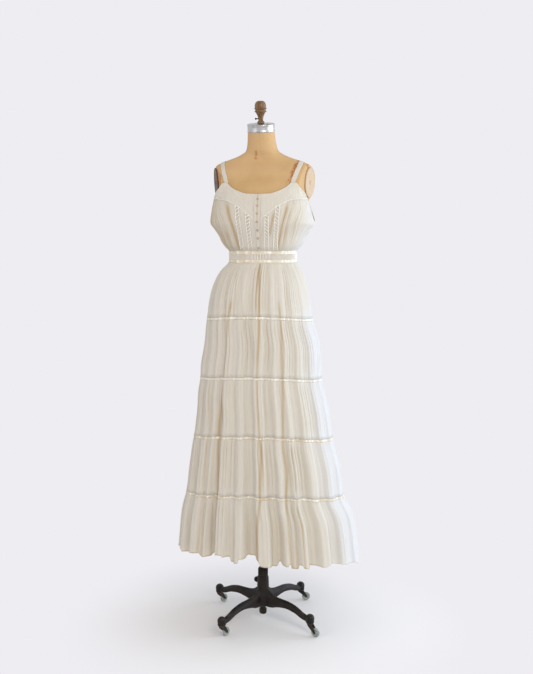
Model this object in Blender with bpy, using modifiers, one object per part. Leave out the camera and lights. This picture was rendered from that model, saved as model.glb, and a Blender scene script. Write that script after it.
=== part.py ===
"""Tiered maxi dress with thin straps, standing on a limbless dress form with a wheeled iron base.

The dress faces -Y. The origin is on the floor, under the middle of the whole object.
Cloth is a thin wall: a grid of outer points, and the same grid moved inwards by the wall's thickness.
"""
import math
from collections import namedtuple

import bmesh
import bpy
import numpy as np
from mathutils import Matrix, Vector
from mathutils.bvhtree import BVHTree

# Driving dimensions, in metres
TOTAL_HEIGHT = 1.900
AXIS_X = -0.018          # the pole stands a little left of the middle, because the skirt swings right
CLOTH = 0.0016           # thickness of a cloth wall
RIBBON_PROUD = 0.0006    # a ribbon lies a little outside the cloth that it joins
SEAM_GAP = 0.0003        # gap between two pieces that are sewn together
STRAP_WIDTH = 0.015
STRAP_CENTRE_HEIGHT = 1.560   # middle of the shoulder that the straps are laid round
STRAP_TURN = (36.8, 153.5)    # degrees round that middle, from the front, where a strap starts and ends
STRAP_STEPS = 18
# Distance of a strap from the centre line at shares of its length
STRAP_DISTANCE = [(0, .1175), (.42, .1410), (.62, .1410), (1, .1180)]
RIBBON_HEIGHT = 0.009
WAIST_BOTTOM = 1.337
WAIST_LOWER_RIBBON = 0.0125
WAIST_LACE = 0.0185
WAIST_UPPER_RIBBON = 0.0105
WAIST_TOP = WAIST_BOTTOM + WAIST_LOWER_RIBBON + WAIST_LACE + WAIST_UPPER_RIBBON + 2 * SEAM_GAP
WAIST_POWER = 2.4        # roundness of the waist's section, as the form's
BUTTON_RADIUS = 0.0043
BUTTON_THICKNESS = 0.0022
PLACKET_HALF_WIDTH = 0.011
LACE_WIDTH = 0.016

POLE_RADIUS = 0.011
POLE_BOTTOM = 0.135
POLE_TOP = 1.155
BORE_RADIUS = 0.0117     # the pole turns and slides in it with room for its facets
LEG_REACH = 0.2248       # from the pole's axis to each caster's swivel axis
WHEEL_RADIUS = 0.016
WHEEL_SIDES = 18
AXLE_HEIGHT = WHEEL_RADIUS * math.cos(math.pi / WHEEL_SIDES)   # each wheel rests on a flat of its tread
WHEEL_WIDTH = 0.010
CASTER_TRAIL = 0.024
SOCKET_RADIUS = 0.016
SOCKET_BOTTOM = 0.046
STEM_RADIUS = 0.0038
STEM_BORE = 0.0044
AXLE_RADIUS = 0.0022
AXLE_BORE = 0.0028

# Sections of the dress form: height, half-width, reach to the front and back, roundness of the
# section (2 is an ellipse), how far its middle leans forward, and how much its front dips
Torso = namedtuple("Torso", "z half_width front back power lean dip")
TORSO = [
    Torso(1.040, .145, .098, .104, 2.3, .000, .00),
    Torso(1.110, .150, .101, .109, 2.3, .000, .00),
    Torso(1.180, .147, .099, .107, 2.3, .000, .00),
    Torso(1.240, .138, .096, .102, 2.3, .000, .00),
    Torso(1.295, .124, .093, .094, 2.4, .000, .00),
    Torso(1.335, .1185, .093, .091, 2.4, .000, .00),
    Torso(1.383, .1185, .093, .091, 2.4, .000, .00),
    Torso(1.420, .124, .102, .092, 2.4, .000, .00),
    Torso(1.455, .135, .118, .095, 2.4, .000, .00),
    Torso(1.490, .146, .130, .098, 2.4, .000, .00),
    Torso(1.525, .153, .130, .100, 2.4, .000, .00),
    Torso(1.555, .163, .121, .102, 2.4, .000, .00),
    Torso(1.580, .176, .112, .103, 2.8, .000, .00),
    Torso(1.620, .184, .094, .101, 3.0, .000, .00),
    Torso(1.660, .184, .073, .091, 3.0, .000, .00),
    Torso(1.680, .172, .058, .079, 2.6, .000, .00),
    Torso(1.698, .132, .046, .062, 2.3, -.003, .00),
    Torso(1.714, .088, .046, .056, 2.0, -.007, .02),
    Torso(1.733, .0575, .050, .053, 2.0, -.014, .06),
    Torso(1.765, .050, .048, .049, 2.0, -.028, .14),
    Torso(1.797, .047, .047, .047, 2.0, -.042, .21),
]
TORSO_COLUMNS = 26
# The flat at each shoulder end, which the arm plate covers: its middle, and how it leans
ARM_FLAT_X = 0.1665
ARM_FLAT_Z = 1.620
ARM_FLAT_PER_Y = 0.34
ARM_FLAT_PER_Z = 0.075
ARM_FLAT_BOTTOM = 1.550
NECK_TILT = math.radians(12)

# Sections of the bodice: height, half-width, reach to the front and back, roundness of the section
Bodice = namedtuple("Bodice", "z half_width front back power")
BODICE = [
    Bodice(1.3800, .1212, .0957, .0937, 2.40),
    Bodice(1.3925, .1340, .1080, .1030, 2.45),
    Bodice(1.4110, .1470, .1150, .1070, 2.50),
    Bodice(1.4320, .1560, .1230, .1090, 2.55),
    Bodice(1.4540, .1700, .1315, .1110, 2.60),
    Bodice(1.4800, .1860, .1395, .1130, 2.70),
    Bodice(1.5000, .1840, .1415, .1150, 2.80),
    Bodice(1.5300, .1790, .1385, .1170, 2.90),
    Bodice(1.5600, .1750, .1280, .1190, 2.90),
    Bodice(1.5900, .1740, .1150, .1190, 2.90),
    Bodice(1.6200, .1780, .1015, .1170, 2.90),
]
EDGE_POWER = 2.9          # roundness of the section where the upper edges run
BODICE_REACH = 0.175      # half-width that the edge tables are drawn on
# Upper edges of the bodice: distance from the centre line, and height
FRONT_EDGE = [(0, 1.577), (.040, 1.579), (.070, 1.588), (.095, 1.601), (.106, 1.612), (.110, 1.617),
              (.125, 1.617), (.142, 1.600), (.157, 1.584), (.166, 1.565), (.1725, 1.525), (.175, 1.486)]
BACK_EDGE = [(0, 1.600), (.060, 1.601), (.095, 1.605), (.110, 1.610), (.126, 1.610), (.145, 1.585),
             (.160, 1.545), (.170, 1.505), (.175, 1.486)]
YOKE_SEAM = [(.011, 1.484), (.0175, 1.493), (.030, 1.505), (.047, 1.518), (.063, 1.531),
             (.088, 1.545), (.109, 1.555), (.140, 1.560), (.163, 1.563)]
YOKE_COLUMNS = 17         # columns of the lower front that lie under the yoke
FRONT_COLUMNS = 24
FRONT_ROWS = (0, .08, .26, .50, .76, 1)
FRONT_GATHER_START = 27   # degrees from the centre line; the lace lies on the flat stretch before it
FRONT_GATHERS = 8
BACK_GATHERS = 9
BODICE_GATHER_DEPTH = 0.0028
LACE_X = (.035, .072)     # distance of the lace strips from the centre line, at the bust
LACE_NARROWING = 0.80     # the strips lean in to this share of it at the waist
LACE_THICKNESS = 0.0011
LACE_CLEARANCE = 0.0008   # the strips bridge the facets of the panel that they lie on
LACE_RIB = 0.0006         # every other row of a strip stands proud by this
PLACKET_PROUD = 0.0006
BUTTON_SEAT = 0.0005      # gap behind a button, where its thread is
BUTTON_TAPER = 0.86
BUTTON_HEIGHTS = (1.559, 1.536, 1.509, 1.481, 1.4525, 1.4245, 1.3915)

# Sections of the skirt: height, half-width, shift of its middle from the pole, reach to the front
# and back, and roundness of the section
Skirt = namedtuple("Skirt", "z half_width shift front back power")
SKIRT = [
    Skirt(1.337, .1212, .0000, .0957, .0937, 2.40),
    Skirt(1.303, .147, -.007, .112, .109, 2.40),
    Skirt(1.2595, .1665, -.010, .126, .122, 2.35),
    Skirt(1.216, .177, -.012, .135, .130, 2.30),
    Skirt(1.172, .186, -.011, .141, .136, 2.25),
    Skirt(1.132, .191, -.0115, .145, .140, 2.20),
    Skirt(1.041, .209, -.0035, .153, .149, 2.10),
    Skirt(.952, .220, -.0075, .159, .155, 2.05),
    Skirt(.9155, .221, -.008, .161, .157, 2.05),
    Skirt(.864, .231, -.006, .166, .162, 2.05),
    Skirt(.774, .2445, .000, .172, .169, 2.00),
    Skirt(.699, .255, .000, .177, .174, 2.00),
    Skirt(.594, .277, .005, .185, .182, 2.00),
    Skirt(.488, .292, .006, .191, .189, 2.00),
    Skirt(.411, .318, .014, .200, .198, 2.00),
    Skirt(.320, .331, .017, .210, .208, 2.00),
    Skirt(.262, .338, .018, .216, .214, 2.00),
]
# Seams between the tiers: height at the sides, and how much the front and back are lifted
Seam = namedtuple("Seam", "z lift")
SEAMS = [Seam(1.133, .015), Seam(.9155, .020), Seam(.699, .028), Seam(.488, .027)]
HEM = Seam(.259, .038)
HEM_SLOPE = -0.019        # the hem is lower at the right side than at the left
# Uneven dips of the hem: angle from the front towards the right, half-width and depth
Dip = namedtuple("Dip", "angle half_width depth")
HEM_DIPS = [Dip(-41, 6, .008), Dip(-19, 6, .018), Dip(4, 8, .022), Dip(22, 6, .020), Dip(32, 5, .010),
            Dip(60, 8, .012), Dip(-62, 8, .006), Dip(104, 9, .010), Dip(130, 7, .018), Dip(148, 6, .014),
            Dip(170, 8, .020), Dip(-164, 6, .016), Dip(-144, 7, .018), Dip(-122, 8, .010)]
# Large folds of the skirt: angle, half-width, and depth of the valley at the hem
Fold = namedtuple("Fold", "angle half_width depth")
FOLDS = [
    Fold(-77, 7, .016), Fold(-60, 8, .023), Fold(-45, 6, .014), Fold(-33, 7, .034), Fold(-20, 6, .017),
    Fold(-6, 7, .032), Fold(11, 7, .030), Fold(23, 6, .018), Fold(36, 7, .026), Fold(53, 8, .025),
    Fold(70, 8, .018), Fold(103, 8, .022), Fold(121, 7, .028), Fold(138, 7, .020), Fold(155, 8, .032),
    Fold(173, 7, .024), Fold(-170, 7, .018), Fold(-151, 8, .033), Fold(-132, 7, .022), Fold(-112, 8, .027),
]
# Share of the folds' depth at each height; the ribbons in the seams hold the cloth flatter
FOLD_GROWTH = [(.262, 1), (.370, .92), (.488, .60), (.600, .72), (.699, .44), (.820, .52), (.9155, .32),
               (1.030, .36), (1.132, .20), (1.300, .08), (1.337, 0)]
# Tiers: gathers all round, and how deep they are at each row down from the seam
Tier = namedtuple("Tier", "name gathers rows")
Row = namedtuple("Row", "down depth puff")
SKIRT_TIERS = [
    Tier("tier_1", 36, [Row(0, .0008, 0), Row(.17, .0026, 0), Row(.50, .0030, 0), Row(1, .0010, 0)]),
    Tier("tier_2", 30, [Row(0, .0008, 0), Row(.24, .0034, .003), Row(1, .0012, 0)]),
    Tier("tier_3", 30, [Row(0, .0008, 0), Row(.24, .0036, .003), Row(1, .0012, 0)]),
    Tier("tier_4", 30, [Row(0, .0008, 0), Row(.24, .0038, .004), Row(1, .0012, 0)]),
    Tier("tier_5", 30, [Row(0, .0008, 0), Row(.20, .0042, .005), Row(.62, .0034, 0), Row(1, .0034, 0)]),
]
POINTS_PER_GATHER = 3
# A stretch of cloth from seam to seam: the angles of its ends, and the level directions into the
# garment there. Both pieces at a seam share that direction, so that they stay parted.
Panel = namedtuple("Panel", "name start end into_start into_end")
FRONT = Panel("front", -90, 90, (1, 0, 0), (-1, 0, 0))
BACK = Panel("back", 90, 270, (-1, 0, 0), (1, 0, 0))
# The widest tiers are four widths of cloth each. Their other seams lie inside a front and a back fold.
WIDE_TIERS = 2
WIDTHS = [
    Panel("front_left", -90, -6, (1, 0, 0), (0, 1, 0)),
    Panel("front_right", -6, 90, (0, 1, 0), (-1, 0, 0)),
    Panel("back_right", 90, 174, (-1, 0, 0), (0, -1, 0)),
    Panel("back_left", 174, 270, (0, -1, 0), (1, 0, 0)),
]
RIBBON_COLUMNS = 45       # every other column of the tiers
WAIST_RIBBON_COLUMNS = 36
BAND_COLUMNS = 48
BAND_RIB = 0.0006

# Leg of the base, from the pole's axis outwards: distance, top, bottom and half-width
Leg = namedtuple("Leg", "out top bottom half_width")
LEG = [
    Leg(.010, .128, .056, .0120),
    Leg(.028, .119, .054, .0120),
    Leg(.046, .107, .056, .0122),
    Leg(.075, .101, .065, .0125),
    Leg(.118, .099, .071, .0125),
    Leg(.155, .092, .066, .0120),
    Leg(.195, .075, .052, .0115),
    Leg(.222, .066, .0475, .0112),
]
LEG_ANGLES = {"front_right": -32.9, "back_right": 57.1, "back_left": 147.1, "front_left": 237.1}
TRAIL_ANGLES = {"front_right": -31, "back_right": 32, "back_left": 57, "front_left": 61}


def clear_scene():
    for item in list(bpy.data.objects):
        bpy.data.objects.remove(item, do_unlink=True)


def make_collection(name):
    collection = bpy.data.collections.new(name)
    bpy.context.scene.collection.children.link(collection)
    return collection


def make_material(name, colour, roughness, metallic=0.0):
    material = bpy.data.materials.new(name)
    material.use_nodes = True
    shader = material.node_tree.nodes["Principled BSDF"]
    shader.inputs["Base Color"].default_value = (*colour, 1.0)
    shader.inputs["Roughness"].default_value = roughness
    shader.inputs["Metallic"].default_value = metallic
    material.diffuse_color = (*colour, 1.0)
    return material


def add_object(name, mesh, material, collection):
    item = bpy.data.objects.new(name, mesh)
    collection.objects.link(item)
    if material is not None:
        mesh.materials.append(material)
    return item


def mesh_from_faces(name, points, faces, smooth_angle=35):
    """A mesh whose faces all point out."""
    mesh = bpy.data.meshes.new(name)
    mesh.from_pydata([tuple(p) for p in points], [], faces)
    shape = bmesh.new()
    shape.from_mesh(mesh)
    bmesh.ops.recalc_face_normals(shape, faces=shape.faces[:])
    shape.to_mesh(mesh)
    shape.free()
    mesh.shade_smooth()
    mesh.set_sharp_from_angle(angle=math.radians(smooth_angle))
    return mesh


def superellipse(angle, half_width, front, back, power):
    """Point at an angle in degrees from the front (-Y) towards +X."""
    across = math.sin(math.radians(angle))
    along = math.cos(math.radians(angle))
    reach = front if along > 0 else back
    x = math.copysign(abs(across) ** (2 / power), across) * half_width
    y = -math.copysign(abs(along) ** (2 / power), along) * reach
    return x, y


def interpolate(table, z, field):
    """Value of a named column at a height, from a table of sections."""
    rows = sorted(table, key=lambda row: row.z)
    return float(np.interp(z, [row.z for row in rows], [getattr(row, field) for row in rows]))


def bump(angle, centre, half_width):
    """A smooth hump of height 1 at the centre, down to 0 at the half-width."""
    away = abs((angle - centre + 180) % 360 - 180) / half_width
    return math.cos(away * math.pi / 2) ** 2 if away < 1 else 0.0


# Cloth walls

def inward_directions(row, closed, end_directions):
    """Level unit vectors that point into the garment from each point of a row."""
    count = len(row)
    directions = []
    for i in range(count):
        before = row[(i - 1) % count] if closed else row[max(i - 1, 0)]
        after = row[(i + 1) % count] if closed else row[min(i + 1, count - 1)]
        run = Vector((after[0] - before[0], after[1] - before[1], 0)).normalized()
        directions.append(Vector((-run.y, run.x, 0)))
    if end_directions is not None:
        directions[0] = Vector(end_directions[0])
        directions[-1] = Vector(end_directions[1])
    return directions


def cloth_wall(name, rows, material, closed=False, thickness=CLOTH, end_directions=None):
    """A wall from rows of outer points. Each row runs from the left, past the front or back, to the right."""
    count = len(rows[0])
    points = [Vector(p) for row in rows for p in row]
    for row in rows:
        inward = inward_directions(row, closed, end_directions)
        points += [Vector(p) + step * thickness for p, step in zip(row, inward)]
    inner = len(rows) * count
    spans = count if closed else count - 1
    faces = []
    for r in range(len(rows) - 1):
        for c in range(spans):
            a, b = r * count + c, r * count + (c + 1) % count
            faces.append((a, b, b + count, a + count))
            faces.append((inner + a, inner + a + count, inner + b + count, inner + b))
    for r, turn in ((0, False), (len(rows) - 1, True)):
        for c in range(spans):
            a, b = r * count + c, r * count + (c + 1) % count
            rim = (a, inner + a, inner + b, b)
            faces.append(rim[::-1] if turn else rim)
    if not closed:
        for r in range(len(rows) - 1):
            for c, turn in ((0, False), (count - 1, True)):
                a = r * count + c
                end = (a, a + count, inner + a + count, inner + a)
                faces.append(end[::-1] if turn else end)
    return add_object(name, mesh_from_faces(name, points, faces), material, PARTS)


# Skirt

def seam_height(seam, angle):
    return seam.z + seam.lift * math.cos(math.radians(angle)) ** 2


def hem_height(angle):
    dips = sum(dip.depth * bump(angle, dip.angle, dip.half_width) for dip in HEM_DIPS)
    return seam_height(HEM, angle) + HEM_SLOPE * math.sin(math.radians(angle)) - dips


def skirt_point(angle, z, gathers=0, depth=0.0, puff=0.0):
    """Outer point of the skirt, with its large folds and its gathers."""
    growth = float(np.interp(z, [g[0] for g in FOLD_GROWTH], [g[1] for g in FOLD_GROWTH]))
    folds = sum(fold.depth * bump(angle, fold.angle, fold.half_width) for fold in FOLDS) * growth
    wave = -depth * math.cos(math.radians(angle * gathers)) if gathers else 0.0
    more = puff + wave - folds
    x, y = superellipse(angle, interpolate(SKIRT, z, "half_width") + more,
                        interpolate(SKIRT, z, "front") + more, interpolate(SKIRT, z, "back") + more,
                        interpolate(SKIRT, z, "power"))
    return AXIS_X + interpolate(SKIRT, z, "shift") + x, y, z


def panel_angles(panel, spans):
    """Angles from one seam of a panel to the other, always turning left to right."""
    clearance = 0.06
    angles = [panel.start + (panel.end - panel.start) * i / spans for i in range(spans + 1)]
    angles[0] += clearance
    angles[-1] -= clearance
    return angles


def ring_angles(columns):
    return [-90 + 360 * c / columns for c in range(columns)]


def build_skirt():
    clear = RIBBON_HEIGHT / 2 + SEAM_GAP
    for i, tier in enumerate(SKIRT_TIERS):
        last = i == len(SKIRT_TIERS) - 1
        wide = i >= len(SKIRT_TIERS) - WIDE_TIERS
        for panel in WIDTHS if wide else (FRONT, BACK):
            spans = round((panel.end - panel.start) / 360 * tier.gathers * POINTS_PER_GATHER)
            rows = []
            for row in reversed(tier.rows):
                points = []
                for angle in panel_angles(panel, spans):
                    top = WAIST_BOTTOM - SEAM_GAP if i == 0 else seam_height(SEAMS[i - 1], angle) - clear
                    bottom = hem_height(angle) if last else seam_height(SEAMS[i], angle) + clear
                    z = top + (bottom - top) * row.down
                    points.append(skirt_point(angle, z, tier.gathers, row.depth, row.puff))
                rows.append(points)
            cloth_wall(f"skirt_{tier.name}_{panel.name}", rows, COTTON,
                       end_directions=(panel.into_start, panel.into_end))
    for i, seam in enumerate(SEAMS):
        rows = []
        for rise in (-RIBBON_HEIGHT / 2, RIBBON_HEIGHT / 2):
            angles = ring_angles(RIBBON_COLUMNS)
            rows.append([skirt_point(a, seam_height(seam, a) + rise, puff=RIBBON_PROUD) for a in angles])
        cloth_wall(f"skirt_ribbon_{i + 1}", rows, SATIN, closed=True)


# Waistband

def waist_point(angle, z, proud=0.0):
    waist = SKIRT[0]
    x, y = superellipse(angle, waist.half_width + proud, waist.front + proud, waist.back + proud, WAIST_POWER)
    return AXIS_X + x, y, z


def build_waist():
    lace_bottom = WAIST_BOTTOM + WAIST_LOWER_RIBBON + SEAM_GAP
    lace_top = lace_bottom + WAIST_LACE
    ring = ring_angles(WAIST_RIBBON_COLUMNS)
    for name, low, high in (("waist_ribbon_lower", WAIST_BOTTOM, lace_bottom - SEAM_GAP),
                            ("waist_ribbon_upper", lace_top + SEAM_GAP, WAIST_TOP)):
        rows = [[waist_point(a, z) for a in ring] for z in (low, high)]
        cloth_wall(name, rows, SATIN, closed=True)
    spans = BAND_COLUMNS // 2
    for panel in (FRONT, BACK):
        rows = []
        for z in (lace_bottom, lace_top):
            angles = panel_angles(panel, spans)
            rows.append([waist_point(a, z, BAND_RIB * (i % 2)) for i, a in enumerate(angles)])
        cloth_wall(f"waistband_{panel.name}", rows, LACE, end_directions=(panel.into_start, panel.into_end))


# Bodice

def bodice_point(angle, z, proud=0.0):
    x, y = superellipse(angle, interpolate(BODICE, z, "half_width") + proud,
                        interpolate(BODICE, z, "front") + proud,
                        interpolate(BODICE, z, "back") + proud, interpolate(BODICE, z, "power"))
    return AXIS_X + x, y, z


def angle_at(distance):
    """Angle whose column lies at a distance from the centre line."""
    share = min(distance / BODICE_REACH, 1) ** (EDGE_POWER / 2)
    return math.degrees(math.asin(share))


def distance_at(angle):
    return BODICE_REACH * abs(math.sin(math.radians(angle))) ** (2 / EDGE_POWER)


def edge_height(table, angle):
    return float(np.interp(distance_at(angle), [p[0] for p in table], [p[1] for p in table]))


def front_angles():
    start = angle_at(PLACKET_HALF_WIDTH + SEAM_GAP)
    end = 89.94
    return [start + (end - start) * i / FRONT_COLUMNS for i in range(FRONT_COLUMNS + 1)]


def lower_front_rows(sign):
    """Outer rows of the gathered lower front, from the waist up to the yoke and the armhole."""
    angles = front_angles()
    yoke_end = angles[YOKE_COLUMNS]
    rows = []
    for share in FRONT_ROWS:
        fullness = math.sin(math.pi * share)
        points = []
        for angle in angles:
            under_yoke = angle <= yoke_end + 0.01
            top = edge_height(YOKE_SEAM, angle) - SEAM_GAP if under_yoke else edge_height(FRONT_EDGE, angle)
            bottom = WAIST_TOP + SEAM_GAP
            turns = (angle - FRONT_GATHER_START) / (90 - FRONT_GATHER_START) * FRONT_GATHERS
            wave = math.sin(math.pi * turns) ** 2 if angle > FRONT_GATHER_START else 0
            proud = -BODICE_GATHER_DEPTH * wave * fullness
            points.append(bodice_point(sign * angle, bottom + (top - bottom) * share, proud))
        rows.append(points if sign > 0 else points[::-1])
    return rows


def lace_strip(name, panel_rows, distance, sign):
    """A strip that lies on a panel: points read along the panel's rows, moved outwards."""
    half = LACE_WIDTH / 2
    rows = []
    levels = len(panel_rows) * 2 - 1
    for level in range(1, levels):
        r, between = divmod(level, 2)
        lower = panel_rows[r]
        upper = panel_rows[min(r + between, len(panel_rows) - 1)]
        narrowing = LACE_NARROWING + (1 - LACE_NARROWING) * level / levels
        points = []
        for side in (-1, 0, 1):
            x = AXIS_X + sign * distance * narrowing + side * half
            low, high = point_at_x(lower, x), point_at_x(upper, x)
            middle = (low + high) / 2
            middle.y -= LACE_CLEARANCE + LACE_THICKNESS + LACE_RIB * (level % 2)
            points.append(middle)
        rows.append(points)
    forward = ((0, 1, 0), (0, 1, 0))
    return cloth_wall(name, rows, LACE, thickness=LACE_THICKNESS, end_directions=forward)


def point_at_x(row, x):
    """Point on a panel's row at a given x."""
    ordered = sorted(row, key=lambda p: p[0])
    xs = [p[0] for p in ordered]
    return Vector((x, float(np.interp(x, xs, [p[1] for p in ordered])),
                   float(np.interp(x, xs, [p[2] for p in ordered]))))


def build_bodice():
    angles = front_angles()
    for hand, sign in (("left", -1), ("right", 1)):
        ends = [(0, 1, 0), (-sign, 0, 0)]
        if sign < 0:
            ends.reverse()
        panel = lower_front_rows(sign)
        cloth_wall(f"bodice_front_{hand}", panel, COTTON, end_directions=ends)
        for place, distance in zip(("inner", "outer"), LACE_X):
            lace_strip(f"lace_{place}_{hand}", panel, distance, sign)
        rows = []
        for share in (0, .5, 1):
            points = []
            for angle in angles[:YOKE_COLUMNS + 1]:
                bottom, top = edge_height(YOKE_SEAM, angle), edge_height(FRONT_EDGE, angle)
                points.append(bodice_point(sign * angle, bottom + (top - bottom) * share))
            rows.append(points if sign > 0 else points[::-1])
        cloth_wall(f"yoke_front_{hand}", rows, COTTON)

    spans = BACK_GATHERS * POINTS_PER_GATHER
    rows = []
    for share in (0, .10, .35, .70, 1):
        points = []
        for angle in panel_angles(BACK, spans):
            bottom, top = WAIST_TOP + SEAM_GAP, edge_height(BACK_EDGE, angle)
            wave = math.cos(math.radians((angle - 90) * 2 * BACK_GATHERS)) / 2 - 0.5
            proud = BODICE_GATHER_DEPTH * wave * math.sin(math.pi * share)
            points.append(bodice_point(angle, bottom + (top - bottom) * share, proud))
        rows.append(points)
    cloth_wall("bodice_back", rows, COTTON, end_directions=(BACK.into_start, BACK.into_end))


def placket_rows():
    rows = []
    top = FRONT_EDGE[0][1]
    for share in (0, .06, .22, .42, .60, .80, 1):
        z = WAIST_TOP + SEAM_GAP + (top - WAIST_TOP - SEAM_GAP) * share
        edge = angle_at(PLACKET_HALF_WIDTH)
        rows.append([bodice_point(side * edge, z, PLACKET_PROUD) for side in (-1, 0, 1)])
    return rows


def build_placket():
    cloth_wall("placket", placket_rows(), COTTON, thickness=CLOTH + PLACKET_PROUD,
               end_directions=((0, 1, 0), (0, 1, 0)))
    seat = BVHTree.FromObject(bpy.data.objects["placket"], bpy.context.evaluated_depsgraph_get())
    for i, z in enumerate(BUTTON_HEIGHTS):
        spot, normal, _, _ = seat.ray_cast(Vector((AXIS_X, -1, z)), Vector((0, 1, 0)))
        normal.x = 0
        normal.normalize()
        shape = bmesh.new()
        middle = spot + normal * (BUTTON_THICKNESS / 2 + BUTTON_SEAT)
        turn = Vector((0, 0, 1)).rotation_difference(normal).to_matrix().to_4x4()
        bmesh.ops.create_cone(shape, cap_ends=True, segments=12, radius1=BUTTON_RADIUS,
                              radius2=BUTTON_RADIUS * BUTTON_TAPER, depth=BUTTON_THICKNESS)
        mesh = bpy.data.meshes.new(f"button_{i + 1}")
        shape.to_mesh(mesh)
        shape.free()
        item = add_object(f"button_{i + 1}", mesh, SHELL, PARTS)
        item.matrix_world = Matrix.Translation(middle) @ turn


def shoulder_reach(body, x, angle):
    """Distance from the shoulder's middle line to the form's skin, in a direction round the shoulder."""
    out = Vector((0, -math.cos(angle), math.sin(angle)))
    start = Vector((x, 0, STRAP_CENTRE_HEIGHT)) + out * 0.4
    spot, _, _, _ = body.ray_cast(start, -out)
    return (spot - Vector((x, 0, STRAP_CENTRE_HEIGHT))).length


def build_straps():
    """Each strap lies on the form's shoulder, from the front edge of the bodice to the back edge."""
    body = BVHTree.FromObject(bpy.data.objects["dress_form_torso"], bpy.context.evaluated_depsgraph_get())
    shares, distances = zip(*STRAP_DISTANCE)
    first, last = STRAP_TURN
    step_angle = math.radians((last - first) / STRAP_STEPS)
    for hand, sign in (("left", -1), ("right", 1)):
        outer, inner = [], []
        for i in range(STRAP_STEPS + 1):
            share = i / STRAP_STEPS
            angle = math.radians(first) + step_angle * i
            out = Vector((0, -math.cos(angle), math.sin(angle)))
            middle = AXIS_X + sign * float(np.interp(share, shares, distances))
            near = [angle + step_angle * part for part in (-.75, -.375, 0, .375, .75)]
            for side in (-1, 1):
                x = middle + side * STRAP_WIDTH / 2
                across = (x, (x + middle) / 2, middle)
                reach = max(shoulder_reach(body, at, turn) for turn in near for at in across)
                reach = reach / math.cos(step_angle / 2) + SEAM_GAP
                inner.append(Vector((x, 0, STRAP_CENTRE_HEIGHT)) + out * reach)
                outer.append(Vector((x, 0, STRAP_CENTRE_HEIGHT)) + out * (reach + CLOTH))
        points = outer + inner
        base = len(outer)
        faces = []
        for i in range(STRAP_STEPS):
            a = 2 * i
            faces += [(a, a + 1, a + 3, a + 2), (base + a, base + a + 2, base + a + 3, base + a + 1),
                      (a, a + 2, base + a + 2, base + a), (a + 1, base + a + 1, base + a + 3, a + 3)]
        faces += [(0, base, base + 1, 1), (base - 2, base - 1, 2 * base - 1, 2 * base - 2)]
        add_object(f"strap_{hand}", mesh_from_faces(f"strap_{hand}", points, faces), COTTON, PARTS)


# Dress form

def arm_flat(y, z):
    return ARM_FLAT_X + ARM_FLAT_PER_Y * y + ARM_FLAT_PER_Z * (z - ARM_FLAT_Z)


def torso_ring(row):
    ring = []
    for c in range(TORSO_COLUMNS):
        x, y = superellipse(360 * c / TORSO_COLUMNS, row.half_width, row.front, row.back, row.power)
        if row.z > ARM_FLAT_BOTTOM:
            limit = arm_flat(y, row.z)
            x = max(-limit, min(limit, x))
        ring.append(Vector((AXIS_X + x, y + row.lean, row.z + row.dip * y)))
    return ring


def build_torso():
    """A loft of sections, whose flat underside has a blind bore for the pole."""
    rings = []
    for z in (POLE_TOP + 0.0005, TORSO[0].z):
        ring = [superellipse(360 * c / TORSO_COLUMNS, BORE_RADIUS, BORE_RADIUS, BORE_RADIUS, 2)
                for c in range(TORSO_COLUMNS)]
        rings.append([Vector((AXIS_X + x, y, z)) for x, y in ring])
    rings += [torso_ring(row) for row in TORSO]
    points = [p for ring in rings for p in ring]
    n = TORSO_COLUMNS
    faces = [(r * n + c, r * n + (c + 1) % n, (r + 1) * n + (c + 1) % n, (r + 1) * n + c)
             for r in range(len(rings) - 1) for c in range(n)]
    faces.append(tuple(range(n)))
    faces.append(tuple(range((len(rings) - 1) * n, len(rings) * n)))
    add_object("dress_form_torso", mesh_from_faces("dress_form_torso", points, faces), LINEN, PARTS)


def turned(name, profile, material, collection, segments, location=(0, 0, 0), tilt=0.0):
    """A profile of radius and height, top to bottom down its outer side, turned about its own Z."""
    mesh = bpy.data.meshes.new(name)
    mesh.from_pydata([(r, 0, z) for r, z in profile], [(i, i + 1) for i in range(len(profile) - 1)], [])
    item = add_object(name, mesh, material, collection)
    screw = item.modifiers.new("turn", "SCREW")
    screw.steps = segments
    screw.render_steps = segments
    screw.use_merge_vertices = True
    screw.merge_threshold = 0.00001
    screw.use_smooth_shade = True
    item.location = location
    item.rotation_euler.x = tilt
    return item


def neck_point(along):
    """Point at a distance along the tilted neck axis from the neck's top."""
    top = TORSO[-1]
    foot = Vector((AXIS_X, top.lean, top.z + 0.0006))
    return foot + Vector((0, -math.sin(NECK_TILT), math.cos(NECK_TILT))) * along


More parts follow.
